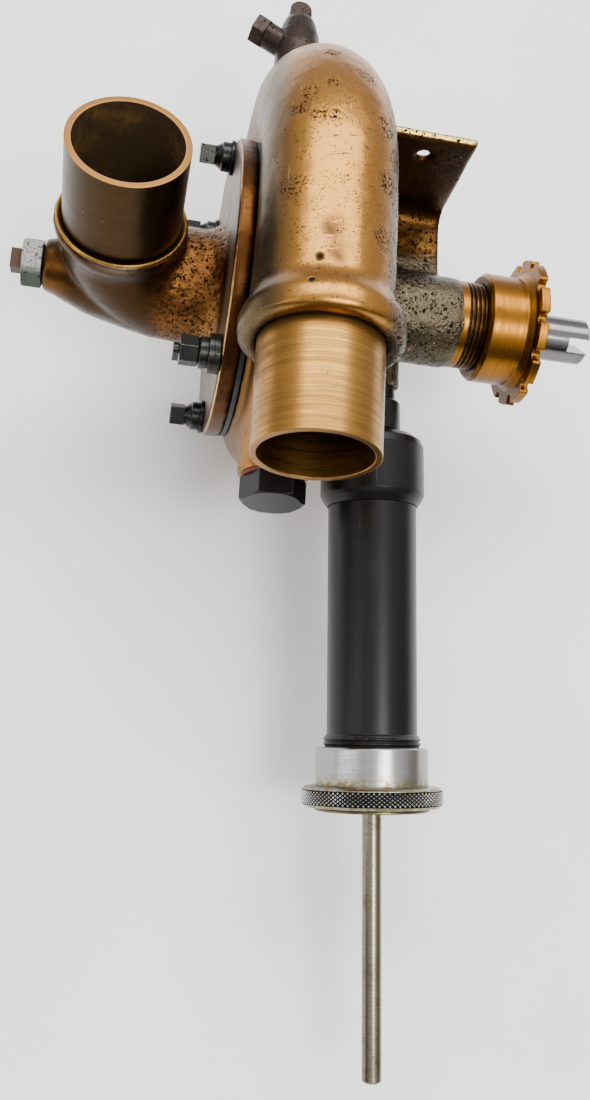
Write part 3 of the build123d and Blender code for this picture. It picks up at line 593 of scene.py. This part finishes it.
# ---------------------------------------------------------------- finishes
def cast_bronze(settings):
    """Golden sand-cast bronze; the shaft housing is grey and pitted; painted shade darkens the foot and the
    housing's lower side, and painted shade and reflection darken the duct's flanks over some patina.
    """
    metal = Metal(
        "Cast bronze", settings.golden, settings.brown, (0.30, 0.38), 1.0, DUCT, scale=55, cover=0.42
    )
    housing = metal.both(metal.near("X", -66, -61), metal.near("Y", 24, 20))
    foot = metal.both(metal.near("X", -66, -64), metal.near("Y", 20, 25))
    # painted shade and reflection, partly patina: both flanks of the duct painted darker and greyer
    left, right = metal.near("X", -95.5, -103.5), metal.near("X", -71.5, -65.5)
    metal.paint(metal.both(left, metal.near("Z", 20, 36)), (0.21, 0.15, 0.08), 0.36)
    metal.paint(metal.both(left, metal.near("Z", 38, 22)), (0.26, 0.14, 0.050), 0.36)
    metal.paint(right, (0.20, 0.135, 0.085), 0.38)
    metal.paint(housing, (0.19, 0.155, 0.105), 0.27)
    metal.paint(metal.both(housing, metal.stain), (0.075, 0.062, 0.042), 0.34)
    # painted shade: the housing darker on its lower side
    metal.paint(metal.both(housing, metal.near("Z", 7, -4)), (0.055, 0.046, 0.032), 0.36)
    # painted shade: the foot's plate painted dark, as if in shadow
    metal.paint(foot, (0.105, 0.052, 0.016), 0.36)
    metal.paint(metal.both(foot, metal.near("Y", 38, 28), metal.stain), (0.50, 0.28, 0.075), 0.3)
    # painted highlight, partly wear: a bright gold line along the foot's top edge
    worn_and_lit_top_edge = metal.both(
        foot, metal.near("Z", 45.2, 46.0), metal.near("Z", 48, 47.2), metal.near("Y", 38, 39),
        ramp(metal.tree, metal.fine, 0.3, 0.5),
    )
    metal.paint(worn_and_lit_top_edge, (0.95, 0.66, 0.22), 0.22)
    metal.grain(420, 0.045)
    metal.grain(1500, 0.016)
    metal.paint(metal.both(housing, metal.fine), (0.15, 0.125, 0.085), None, 0.6)
    metal.scratches((0.80, 0.56, 0.36), 0.3, 0.012)
    metal.scratches((0.22, 0.13, 0.07), 0.55, 0.02, SCRUB)
    rubbed = metal.any_of([metal.within(centre, radius) for centre, radius in RUBBED_PATCHES])
    metal.scratches((0.20, 0.11, 0.05), 2.4, 0.05, SCRUB, 0.45, rubbed)
    porous = metal.any_of([metal.within(centre, radius) for centre, radius in POROUS_PATCHES])
    metal.pits((0.030, 0.018, 0.010), 1150, 0.85, 1.3, 0.3, porous)
    metal.pits((0.060, 0.030, 0.014), 1500, 0.42, 0.75, 0.14)
    metal.pits((0.035, 0.026, 0.018), 800, 0.60, 0.9, 0.3, metal.any_of([housing, right]))
    for centre, radius in MARKS:
        metal.paint(metal.within(centre, radius), (0.05, 0.03, 0.02), 0.6, -0.3)
    metal.edges(0.9, settings.bright, settings.grime_and_shade, 0.7, 0.85)
    return metal.done()


def waterway(settings):
    """Dark, granular inside of the waterways."""
    metal = Metal("Waterway", (0.045, 0.026, 0.011), (0.014, 0.009, 0.005), (0.5, 0.7), 0.85, scale=90)
    metal.grain(500, 0.12)
    metal.pits((0.55, 0.36, 0.12), 900, 0.5, 0.9, -0.1)
    return metal.done()


def old_bronze(settings):
    """Bronze darkened brown, coppery and rough by the flange, with a bright line round the rim that is
    partly rubbed and partly a painted highlight.
    """
    metal = Metal(
        "Old bronze", settings.old, (0.085, 0.045, 0.017), (0.32, 0.42), 1.0, SHAFT, scale=42, cover=0.5
    )
    neck = metal.both(metal.near("X", -136, -124), metal.near("X", -110.6, -112.2))
    rim = metal.radius_on_axis(47.5, 49.0)
    metal.paint(metal.both(neck, ramp(metal.tree, metal.fine, 0.36, 0.6)), (0.36, 0.15, 0.050), 0.34)
    metal.paint(metal.both(neck, metal.near("Y", 4, -16), metal.stain), (0.56, 0.33, 0.08), 0.3)
    # painted sheen: a golden-brown patch on the elbow's lower left
    metal.paint(metal.both(metal.near("X", -158, -167), metal.near("Y", 6, -10)), (0.20, 0.10, 0.032), 0.34)
    # painted reflection: the flange's face, away from the shaft, painted grey
    metal.paint(metal.radius_on_axis(31, 34), (0.26, 0.20, 0.15), 0.4)
    metal.paint(rim, (0.15, 0.068, 0.024), 0.34)
    metal.paint(metal.both(rim, metal.stain), (0.07, 0.036, 0.018), 0.42)
    metal.grain(380, 0.04)
    lumpy = metal.both(neck, metal.radius_on_axis(34, 31))
    metal.paint(metal.both(lumpy, metal.fine), (0.30, 0.15, 0.05), None, 0.8)
    metal.pits((0.05, 0.024, 0.011), 900, 0.62, 0.95, 0.3, lumpy)
    metal.pits(settings.grime_and_shade, 1100, 0.35, 0.6, 0.15)
    # painted highlight, partly wear: a bright line round the corner of the rim
    worn_and_lit_corner = metal.both(metal.radius_on_axis(49.2, 49.5), metal.near("X", -110.1, -110.5))
    metal.edges(0.8, settings.bright, settings.grime_and_shade, 0.9, 0.7, breakup=300)
    metal.paint(worn_and_lit_corner, (0.95, 0.60, 0.27), 0.22)
    return metal.done()


def old_tube(settings):
    """Smooth darkened tube with a coppery mouth."""
    metal = Metal(
        "Old tube", (0.100, 0.062, 0.029), (0.066, 0.040, 0.020), (0.28, 0.36), 1.0, SUCTION, scale=48
    )
    inside = metal.radius_on_axis(17.7, 17.2)
    metal.metallic = between(metal.tree, inside, 1.0, 0.3)
    metal.marks(0.25, 0.7, 0.006, 0.08)
    metal.scratches((0.30, 0.17, 0.07), 0.25, 0.01, SHAFT)
    metal.paint(inside, (0.10, 0.060, 0.026), 0.6)
    metal.paint(metal.both(inside, metal.stain), (0.26, 0.16, 0.05), 0.5)
    metal.paint(metal.height_on_axis(57.55, 57.75), settings.copper, 0.34)
    metal.edges(0.45, settings.copper, (0.03, 0.02, 0.01), 1.0, 0.6, breakup=250)
    return metal.done()


def turned_bronze(settings):
    """Bright turned bronze with plain tool marks."""
    metal = Metal(
        "Turned bronze", (0.68, 0.385, 0.110), (0.50, 0.255, 0.062), (0.22, 0.30), 1.0, DUCT,
        scale=40, cover=0.4,
    )
    metal.marks(0.32, 0.55, 0.022, 0.12)
    metal.marks(0.30, 1.1, 0.010, 0.05)
    metal.pits((0.10, 0.055, 0.02), 900, 0.3, 0.5, 0.08)
    # painted shadow: the spigot darker where it comes out under the bead's lip
    metal.paint(metal.height_on_axis(49.0, 46.0), (0.36, 0.22, 0.08), 0.4)
    metal.edges(0.5, settings.bright, settings.grime_and_shade, 0.6, 0.75)
    return metal.done()


def gland_bronze(settings, name="Gland bronze", clean=(0.46, 0.215, 0.034)):
    """Golden turned bronze of the gland, darker on its lower part as painted shade, and between its tabs as
    partly soiling, partly painted shade.
    """
    metal = Metal(name, clean, (0.23, 0.105, 0.026), (0.24, 0.32), 1.0, SHAFT, scale=60, cover=0.4)
    metal.marks(0.35, 1.0, 0.012, 0.1)
    # painted shade: the lower part darker, away from the light
    metal.paint(metal.near("Z", 6, -9), (0.17, 0.082, 0.022), 0.3)
    metal.pits(settings.grime_and_shade, 900, 0.3, 0.5, 0.08)
    metal.edges(0.7, settings.bright, (0.030, 0.016, 0.007), 0.9, 0.95)
    return metal.done()


def bearing_bronze(settings):
    """Plain turned bronze of the inner pieces."""
    metal = Metal("Bearing bronze", (0.55, 0.34, 0.13), (0.36, 0.21, 0.08), (0.28, 0.36), 1.0, SHAFT)
    metal.marks(0.25, 1.0, 0.01, 0.1)
    metal.edges(0.4, settings.bright, settings.grime_and_shade, 0.6, 0.6)
    return metal.done()


def black_steel(settings, name="Black steel", place=GREASER, rubbed=0.35):
    """Oil-blackened steel, satin, rubbed grey on its edges."""
    metal = Metal(
        name, settings.black, (0.017, 0.019, 0.020), (0.30, 0.38), 0.3, place, scale=60, cover=0.4
    )
    metal.marks(0.3, 1.6, 0.004, 0.06)
    metal.scratches((0.06, 0.06, 0.06), 0.2, 0.004)
    metal.edges(0.45, (0.20, 0.20, 0.195), (0.004, 0.004, 0.004), rubbed, 0.6)
    return metal.done(0.3)


def fastener_steel(settings):
    """Blackened steel of the cover's fasteners, rubbed brighter."""
    metal = Metal(
        "Fastener steel", (0.060, 0.062, 0.058), (0.095, 0.088, 0.072), (0.26, 0.38), 0.9, SHAFT, scale=120
    )
    metal.grain(900, 0.02)
    metal.pits((0.01, 0.01, 0.01), 1200, 0.4, 0.7, 0.06)
    metal.edges(0.4, (0.42, 0.41, 0.39), (0.008, 0.007, 0.006), 0.75, 0.7, breakup=900)
    return metal.done()


def plated_steel(settings):
    """Dull green-grey plating, paler in patches towards the top."""
    metal = Metal(
        "Plated steel", settings.plated, (0.075, 0.095, 0.080), (0.34, 0.45), 0.9, SHAFT, scale=150
    )
    # paler in patches towards the top
    paler_top = metal.both(metal.near("Z", 3.6, 6.4), ramp(metal.tree, metal.fine, 0.30, 0.52))
    metal.paint(paler_top, (0.44, 0.43, 0.41), 0.45)
    metal.pits((0.06, 0.05, 0.04), 1100, 0.5, 0.9, 0.08)
    metal.edges(0.5, (0.55, 0.53, 0.50), (0.012, 0.012, 0.010), 0.8, 0.7)
    return metal.done()


def rusty_steel(settings):
    """Brown oxidised steel."""
    metal = Metal("Rusty steel", settings.rust, (0.20, 0.10, 0.045), (0.5, 0.62), 0.55, SHAFT, scale=180)
    metal.grain(900, 0.06)
    metal.edges(0.5, (0.32, 0.20, 0.12), (0.01, 0.006, 0.004), 0.6, 0.7)
    return metal.done()


def cock_bronze(settings):
    """Dark brown tarnish of the vent cock."""
    metal = Metal(
        "Cock bronze", (0.055, 0.029, 0.019), (0.022, 0.013, 0.010), (0.34, 0.46), 0.6, DUCT, scale=110
    )
    metal.grain(600, 0.08)
    metal.pits((0.008, 0.005, 0.004), 800, 0.5, 0.9, 0.12)
    metal.edges(0.6, (0.26, 0.12, 0.055), (0.006, 0.004, 0.003), 0.7, 0.8)
    return metal.done()


def ground_steel(settings):
    """Bright ground shaft steel."""
    metal = Metal(
        "Ground steel", settings.ground, (0.42, 0.42, 0.42), (0.16, 0.24), 1.0, SHAFT, scale=80, cover=0.35
    )
    metal.marks(0.2, 1.4, 0.004, 0.08)
    # painted shade: the shaft darker on its lower side
    metal.paint(metal.near("Z", 1, -3), (0.13, 0.135, 0.13), 0.2)
    metal.edges(0.3, (0.75, 0.74, 0.72), (0.02, 0.02, 0.02), 0.6, 0.7)
    return metal.done()


def rod_steel(settings):
    """Olive-grey greasy steel of the rod."""
    metal = Metal("Rod steel", settings.rod, (0.20, 0.18, 0.125), (0.20, 0.30), 1.0, GREASER, scale=90)
    metal.marks(0.3, 0.8, 0.005, 0.1)
    metal.scratches((0.55, 0.52, 0.42), 0.4, 0.006)
    metal.edges(0.3, (0.5, 0.47, 0.38), (0.02, 0.018, 0.01), 0.5, 0.7)
    return metal.done()


def turned_aluminium(settings):
    """Satin turned aluminium, stained yellow by grease next to the knurl."""
    metal = Metal(
        "Turned aluminium", settings.aluminium, (0.42, 0.42, 0.415), (0.20, 0.27), 1.0, GREASER,
        scale=60, cover=0.3,
    )
    metal.marks(0.10, 1.3, 0.006, 0.06)
    low = metal.both(metal.height_on_axis(158.8, 163.6), ramp(metal.tree, metal.fine, 0.34, 0.62))
    metal.paint(low, (0.34, 0.28, 0.13), 0.38)
    metal.edges(0.4, (0.92, 0.92, 0.91), (0.16, 0.125, 0.05), 0.7, 0.9)
    return metal.done()


def knurled_aluminium(settings):
    """Knurled band: bright diamonds over grooves painted black as shade."""
    metal = Metal(
        "Knurled aluminium", (0.78, 0.78, 0.77), (0.6, 0.6, 0.59), (0.22, 0.3), 1.0, GREASER, scale=90
    )
    # painted shade: the grooves between the diamonds painted black
    grooves = metal.radius_on_axis(KNURL_R + 0.16, KNURL_R + 0.01)
    metal.paint(grooves, (0.015, 0.014, 0.012), 0.6)
    return metal.done()


def guide_brass(settings):
    """Greasy brass of the rod guide."""
    metal = Metal(
        "Guide brass", (0.30, 0.27, 0.13), (0.10, 0.09, 0.05), (0.22, 0.32), 1.0, GREASER, scale=120
    )
    metal.marks(0.3, 1.0, 0.006, 0.1)
    metal.edges(0.4, (0.62, 0.60, 0.38), (0.012, 0.010, 0.006), 0.8, 0.8)
    return metal.done()


def soft_stuff(name, clean, stained, rough, grain_scale):
    """Jointing, packing, leather or fibre: not a metal."""
    stuff = Metal(name, clean, stained, rough, 0.0, scale=150)
    stuff.grain(grain_scale, 0.06)
    stuff.edges(0.3, stained, (0.005, 0.005, 0.005), 0.5, 0.5)
    return stuff.done()


# ---------------------------------------------------------------- operators
class PUMP_OT_shared_effects(bpy.types.Operator):
    """Builds the shader groups that the finishes share"""

    bl_idname = "pump.shared_effects"
    bl_label = "Shared effects"

    def execute(self, context):
        for build in (edge_wear_and_shade_group, pits_group, tarnish_group, tool_marks_group, scratches_group):
            build()
        return {"FINISHED"}


class PUMP_OT_castings(bpy.types.Operator):
    """Gives the casing and the suction cover their cast skins"""

    bl_idname = "pump.castings"
    bl_label = "Castings"

    def execute(self, context):
        settings = context.scene.pump_bronze
        grain, lumps = settings.skin_grain / MM, settings.unevenness / MM
        casing = cast_skin("casing_skin", "volute_body", grain, soften=3, roughen=lumps)
        casing.data.materials.append(cast_bronze(settings))
        casing.data.materials.append(waterway(settings))
        cover = cast_skin("suction_cover_skin", "suction_cover", grain, soften=2, roughen=lumps * 0.8)
        cover.data.materials.append(old_bronze(settings))
        cover.data.materials.append(casing.data.materials[1])
        for face in casing.data.polygons:
            x, y, z = (value / MM for value in face.center)
            in_duct = math.hypot(x - DUCT_X, z - DUCT_Z) < WATERWAY_R
            face.material_index = int(in_duct and WATERWAY_Y[0] < y < WATERWAY_Y[1])
        for piece, node in ((casing, "volute_body"), (cover, "suction_cover")):
            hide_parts(node)
            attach(piece, "root")
        return {"FINISHED"}


class PUMP_OT_spigots(bpy.types.Operator):
    """Finishes both hose spigots and adds the bright lip under the suction tube"""

    bl_idname = "pump.spigots"
    bl_label = "Spigots"

    def execute(self, context):
        settings = context.scene.pump_bronze
        wear("suction_spigot", old_tube(settings))
        wear("discharge_spigot", turned_bronze(settings))
        lip = turned("suction_lip", LIP_OUTLINE, SUCTION)
        wear(lip, gland_bronze(settings, "Lip bronze", (0.62, 0.36, 0.10)))
        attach(lip, "root")
        return {"FINISHED"}


class PUMP_OT_gland(bpy.types.Operator):
    """Turns the gland's thread and band, and finishes the gland nut"""

    bl_idname = "pump.gland"
    bl_label = "Gland"

    def execute(self, context):
        settings, detail = context.scene.pump_bronze, context.scene.pump_detail
        finish = gland_bronze(settings)
        wear("gland_nut", finish)
        band = turned("housing_band", BAND_OUTLINE, SHAFT)
        thread = screw_thread(
            "gland_thread", root=14.35, crest=15.3, low=-24.6, high=-12.4,
            pitch=detail.gland_pitch / MM, place=SHAFT,
        )
        wear(band, finish)
        wear(thread, gland_bronze(settings, "Thread bronze", (0.26, 0.135, 0.045)))
        for piece in (band, thread):
            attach(piece, "root")
        return {"FINISHED"}


class PUMP_OT_fasteners(bpy.types.Operator):
    """Finishes the bolts, the stud, the plug, the lock nut and the thrust screw"""

    bl_idname = "pump.fasteners"
    bl_label = "Fasteners"

    def execute(self, context):
        settings = context.scene.pump_steel
        finish = fastener_steel(settings)
        for node in ("cover_bolts", "cover_bolt_washers", "cover_stud", "stud_nut", "stud_washers"):
            wear(node, finish)
        wear("drain_plug", black_steel(settings, "Plug steel", DUCT, 0.5))
        wear("lock_nut", plated_steel(settings))
        wear("thrust_screw", rusty_steel(settings))
        jointing = soft_stuff(
            "Oiled jointing", (0.012, 0.012, 0.011), (0.03, 0.026, 0.02), (0.45, 0.6), 900
        )
        fibre = soft_stuff("Red fibre", (0.28, 0.07, 0.045), (0.16, 0.05, 0.03), (0.6, 0.7), 900)
        wear("cover_gasket", jointing)
        wear("drain_plug_washer", fibre)
        return {"FINISHED"}


class PUMP_OT_cock(bpy.types.Operator):
    """Finishes the vent cock"""

    bl_idname = "pump.cock"
    bl_label = "Vent cock"

    def execute(self, context):
        finish = cock_bronze(context.scene.pump_bronze)
        for node in ("cock_body", "cock_nut", "cock_plug", "cock_lever"):
            wear(node, finish)
        return {"FINISHED"}


def knurled_band(detail):
    """A band of raised diamonds round the greaser cap."""
    depth = (KNURL_HIGH - KNURL_LOW) * MM
    bpy.ops.object.select_all(action="DESELECT")
    bpy.ops.mesh.primitive_cylinder_add(
        vertices=detail.knurl_columns, radius=KNURL_R * MM, depth=depth, end_fill_type="NOTHING"
    )
    band = bpy.context.active_object
    band.name = "cap_knurl"
    bpy.ops.object.mode_set(mode="EDIT")
    for row in range(1, KNURL_ROWS):
        bpy.ops.mesh.select_all(action="SELECT")
        bpy.ops.mesh.bisect(plane_co=(0, 0, (row / KNURL_ROWS - 0.5) * depth), plane_no=(0, 0, 1))
    bpy.ops.object.mode_set(mode="OBJECT")
    square = {tuple(sorted(edge.vertices)) for edge in band.data.edges}
    corners = len(band.data.vertices)
    bpy.ops.object.mode_set(mode="EDIT")
    bpy.ops.mesh.select_all(action="SELECT")
    bpy.ops.mesh.poke(offset=0)
    bpy.ops.mesh.select_mode(type="EDGE")
    bpy.ops.mesh.select_all(action="DESELECT")
    bpy.ops.object.mode_set(mode="OBJECT")
    faces_on = {}
    for face in band.data.polygons:
        for key in face.edge_keys:
            faces_on[key] = faces_on.get(key, 0) + 1
    for edge in band.data.edges:
        key = tuple(sorted(edge.vertices))
        edge.select = key in square and max(key) < corners and faces_on[key] == 2
    bpy.ops.object.mode_set(mode="EDIT")
    bpy.ops.mesh.dissolve_edges(use_verts=False)
    bpy.ops.mesh.select_mode(type="FACE")
    bpy.ops.mesh.select_all(action="SELECT")
    bpy.ops.mesh.inset(thickness=KNURL_GROOVE, use_individual=True)
    bpy.ops.mesh.select_all(action="DESELECT")
    bpy.ops.object.mode_set(mode="OBJECT")
    for face in band.data.polygons:
        face.select = face.area > KNURL_FACE
    bpy.ops.object.mode_set(mode="EDIT")
    bpy.ops.mesh.poke(offset=detail.knurl_depth, use_relative_offset=False)
    bpy.ops.mesh.select_mode(type="EDGE")
    bpy.ops.mesh.select_all(action="DESELECT")
    bpy.ops.mesh.select_non_manifold()
    bpy.ops.mesh.extrude_region_move()
    bpy.ops.transform.resize(value=(KNURL_HEM, KNURL_HEM, 1.0), center_override=(0, 0, 0))
    bpy.ops.object.mode_set(mode="OBJECT")
    band.data.transform(GREASER @ Matrix.Translation((0, 0, (KNURL_LOW + KNURL_HIGH) / 2 * MM)))
    return band


class PUMP_OT_greaser(bpy.types.Operator):
    """Knurls the cap, threads the barrel and finishes the greaser"""

    bl_idname = "pump.greaser"
    bl_label = "Greaser"

    def execute(self, context):
        settings, detail = context.scene.pump_steel, context.scene.pump_detail
        finish = black_steel(settings)
        for node in ("greaser_nipple", "greaser_coupling", "greaser_head", "greaser_barrel"):
            wear(node, finish)
        thread = screw_thread(
            "barrel_thread", root=15.68, crest=16.25, low=147.9, high=151.4,
            pitch=1.5, place=GREASER, steps=96,
        )
        wear(thread, black_steel(settings, "Thread steel", GREASER, 0.9))
        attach(thread, "root")
        band = knurled_band(detail)
        wear(band, knurled_aluminium(settings))
        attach(band, "greaser_cap")
        wear("greaser_cap", turned_aluminium(settings))
        wear("rod_guide", guide_brass(settings))
        wear("piston_rod", rod_steel(settings))
        return {"FINISHED"}


class PUMP_OT_inner_pieces(bpy.types.Operator):
    """Finishes the shaft and the pieces inside the casing and the greaser"""

    bl_idname = "pump.inner_pieces"
    bl_label = "Shaft and inner pieces"

    def execute(self, context):
        steel = context.scene.pump_steel
        bearing = bearing_bronze(context.scene.pump_bronze)
        ground = ground_steel(steel)
        for node in (
            "impeller", "impeller_nut", "inner_bush", "outer_bush", "gland_follower", "thrust_button",
        ):
            wear(node, bearing)
        for node in ("shaft", "impeller_pin", "piston_nut"):
            wear(node, ground)
        wear("piston_spring", black_steel(steel, "Spring wire", GREASER, 0.2))
        wear("grease_piston", bpy.data.materials["Turned aluminium"])
        leather = soft_stuff("Cup leather", (0.12, 0.06, 0.03), (0.07, 0.035, 0.02), (0.5, 0.65), 700)
        packing = soft_stuff("Packing", (0.20, 0.17, 0.10), (0.10, 0.08, 0.05), (0.6, 0.75), 500)
        wear("piston_cup", leather)
        wear("packing_rings", packing)
        return {"FINISHED"}


class PUMP_OT_stage(bpy.types.Operator):
    """Lays the pale floor and sets the soft lights and the camera"""

    bl_idname = "pump.stage"
    bl_label = "Stage"

    def soft_light(self, context, name, place, size, energy):
        """A rectangular soft light aimed at the middle of the pump."""
        lamp = bpy.data.lights.new(name, "AREA")
        lamp.shape = "RECTANGLE"
        lamp.size, lamp.size_y = size
        lamp.energy = energy
        held = bpy.data.objects.new(name, lamp)
        held.location = place
        held.rotation_euler = (Vector(MIDDLE) - Vector(place)).to_track_quat("-Z", "Y").to_euler()
        context.scene.collection.objects.link(held)

    def execute(self, context):
        stage = context.scene.pump_stage
        bpy.ops.object.select_all(action="DESELECT")
        ground = (-0.08, -0.1, CAD_BOX[0][2] - FLOOR_DROP)
        bpy.ops.mesh.primitive_plane_add(size=FLOOR_SIZE, location=ground)
        floor = bpy.context.active_object
        floor.name = "paper_floor"
        paper = bpy.data.materials.new("Paper")
        paper.use_nodes = True
        tree = paper.node_tree
        where = add(tree, "ShaderNodeTexCoord").outputs["Object"]
        cloud = noise(tree, where, 9.0, 3.0)
        shade = mixed(tree, ramp(tree, cloud, 0.3, 0.7), colour(stage.paper), (0.88, 0.88, 0.875, 1))
        # painted shade: the floor darkens away from the middle, a painted falloff of the light
        away = add(tree, "ShaderNodeVectorMath", {0: where}, operation="LENGTH").outputs["Value"]
        shade = mixed(tree, ramp(tree, away, 0.5, 1.6), shade, (0.34, 0.33, 0.32, 1))
        tree.links.new(shade, tree.nodes["Principled BSDF"].inputs["Base Color"])
        tree.nodes["Principled BSDF"].inputs["Roughness"].default_value = 0.75
        floor.data.materials.append(paper)

        world = bpy.data.worlds.new("Soft room")
        context.scene.world = world
        world.use_nodes = True
        tree = world.node_tree
        direction = add(tree, "ShaderNodeTexCoord").outputs["Generated"]
        split = add(tree, "ShaderNodeSeparateXYZ", {0: direction}).outputs
        facing = ramp(tree, split["Y"], -0.6, 0.7)
        walls = mixed(tree, facing, (0.05, 0.045, 0.04, 1), (0.60, 0.56, 0.53, 1))
        sky = mixed(tree, ramp(tree, split["Z"], 0.1, 0.95), walls, (1.0, 0.985, 0.97, 1))
        tree.links.new(sky, tree.nodes["Background"].inputs["Color"])
        tree.nodes["Background"].inputs["Strength"].default_value = stage.room_light

        for name, place, size, setting in LIGHTS:
            self.soft_light(context, name, place, size, getattr(stage, setting))

        camera = bpy.data.objects.new("camera", bpy.data.cameras.new("camera"))
        camera.data.lens, camera.data.sensor_width = stage.lens, 36.0
        camera.data.clip_start, camera.data.clip_end = 0.01, 10
        behind = CAMERA_RIGHT.cross(CAMERA_UP).normalized()
        up = behind.cross(CAMERA_RIGHT).normalized()
        camera.matrix_world = Matrix((CAMERA_RIGHT.normalized(), up, behind)).transposed().to_4x4()
        camera.location = stage.camera_place
        context.scene.collection.objects.link(camera)
        context.scene.camera = camera
        return {"FINISHED"}


# ---------------------------------------------------------------- panel and registering
STEPS = (
    PUMP_OT_shared_effects, PUMP_OT_castings, PUMP_OT_spigots, PUMP_OT_gland, PUMP_OT_fasteners,
    PUMP_OT_cock, PUMP_OT_greaser, PUMP_OT_inner_pieces, PUMP_OT_stage,
)
SETTINGS = {
    "pump_bronze": BronzeSettings,
    "pump_steel": SteelSettings,
    "pump_detail": DetailSettings,
    "pump_stage": StageSettings,
}


class PUMP_PT_panel(bpy.types.Panel):
    """Lists the pump's settings and its making steps"""

    bl_label = "Bronze Pump"
    bl_idname = "PUMP_PT_panel"
    bl_space_type = "VIEW_3D"
    bl_region_type = "UI"
    bl_category = "Pump"

    def draw(self, context):
        for key, kind in SETTINGS.items():
            box = self.layout.box()
            held = getattr(context.scene, key)
            for prop in kind.__annotations__:
                box.prop(held, prop)
        for step in STEPS:
            self.layout.operator(step.bl_idname)


def register():
    """Registers the settings, the steps and the panel."""
    for key, kind in SETTINGS.items():
        bpy.utils.register_class(kind)
        setattr(bpy.types.Scene, key, PointerProperty(type=kind))
    for kind in (*STEPS, PUMP_PT_panel):
        bpy.utils.register_class(kind)


def unregister():
    """Removes what register added."""
    for kind in reversed((*STEPS, PUMP_PT_panel)):
        bpy.utils.unregister_class(kind)
    for key, kind in SETTINGS.items():
        delattr(bpy.types.Scene, key)
        bpy.utils.unregister_class(kind)


def main():
    """Makes every piece in order."""
    register()
    bpy.ops.pump.shared_effects()
    bpy.ops.pump.castings()
    bpy.ops.pump.spigots()
    bpy.ops.pump.gland()
    bpy.ops.pump.fasteners()
    bpy.ops.pump.cock()
    bpy.ops.pump.greaser()
    bpy.ops.pump.inner_pieces()
    bpy.ops.pump.stage()


if __name__ == "__main__":
    main()
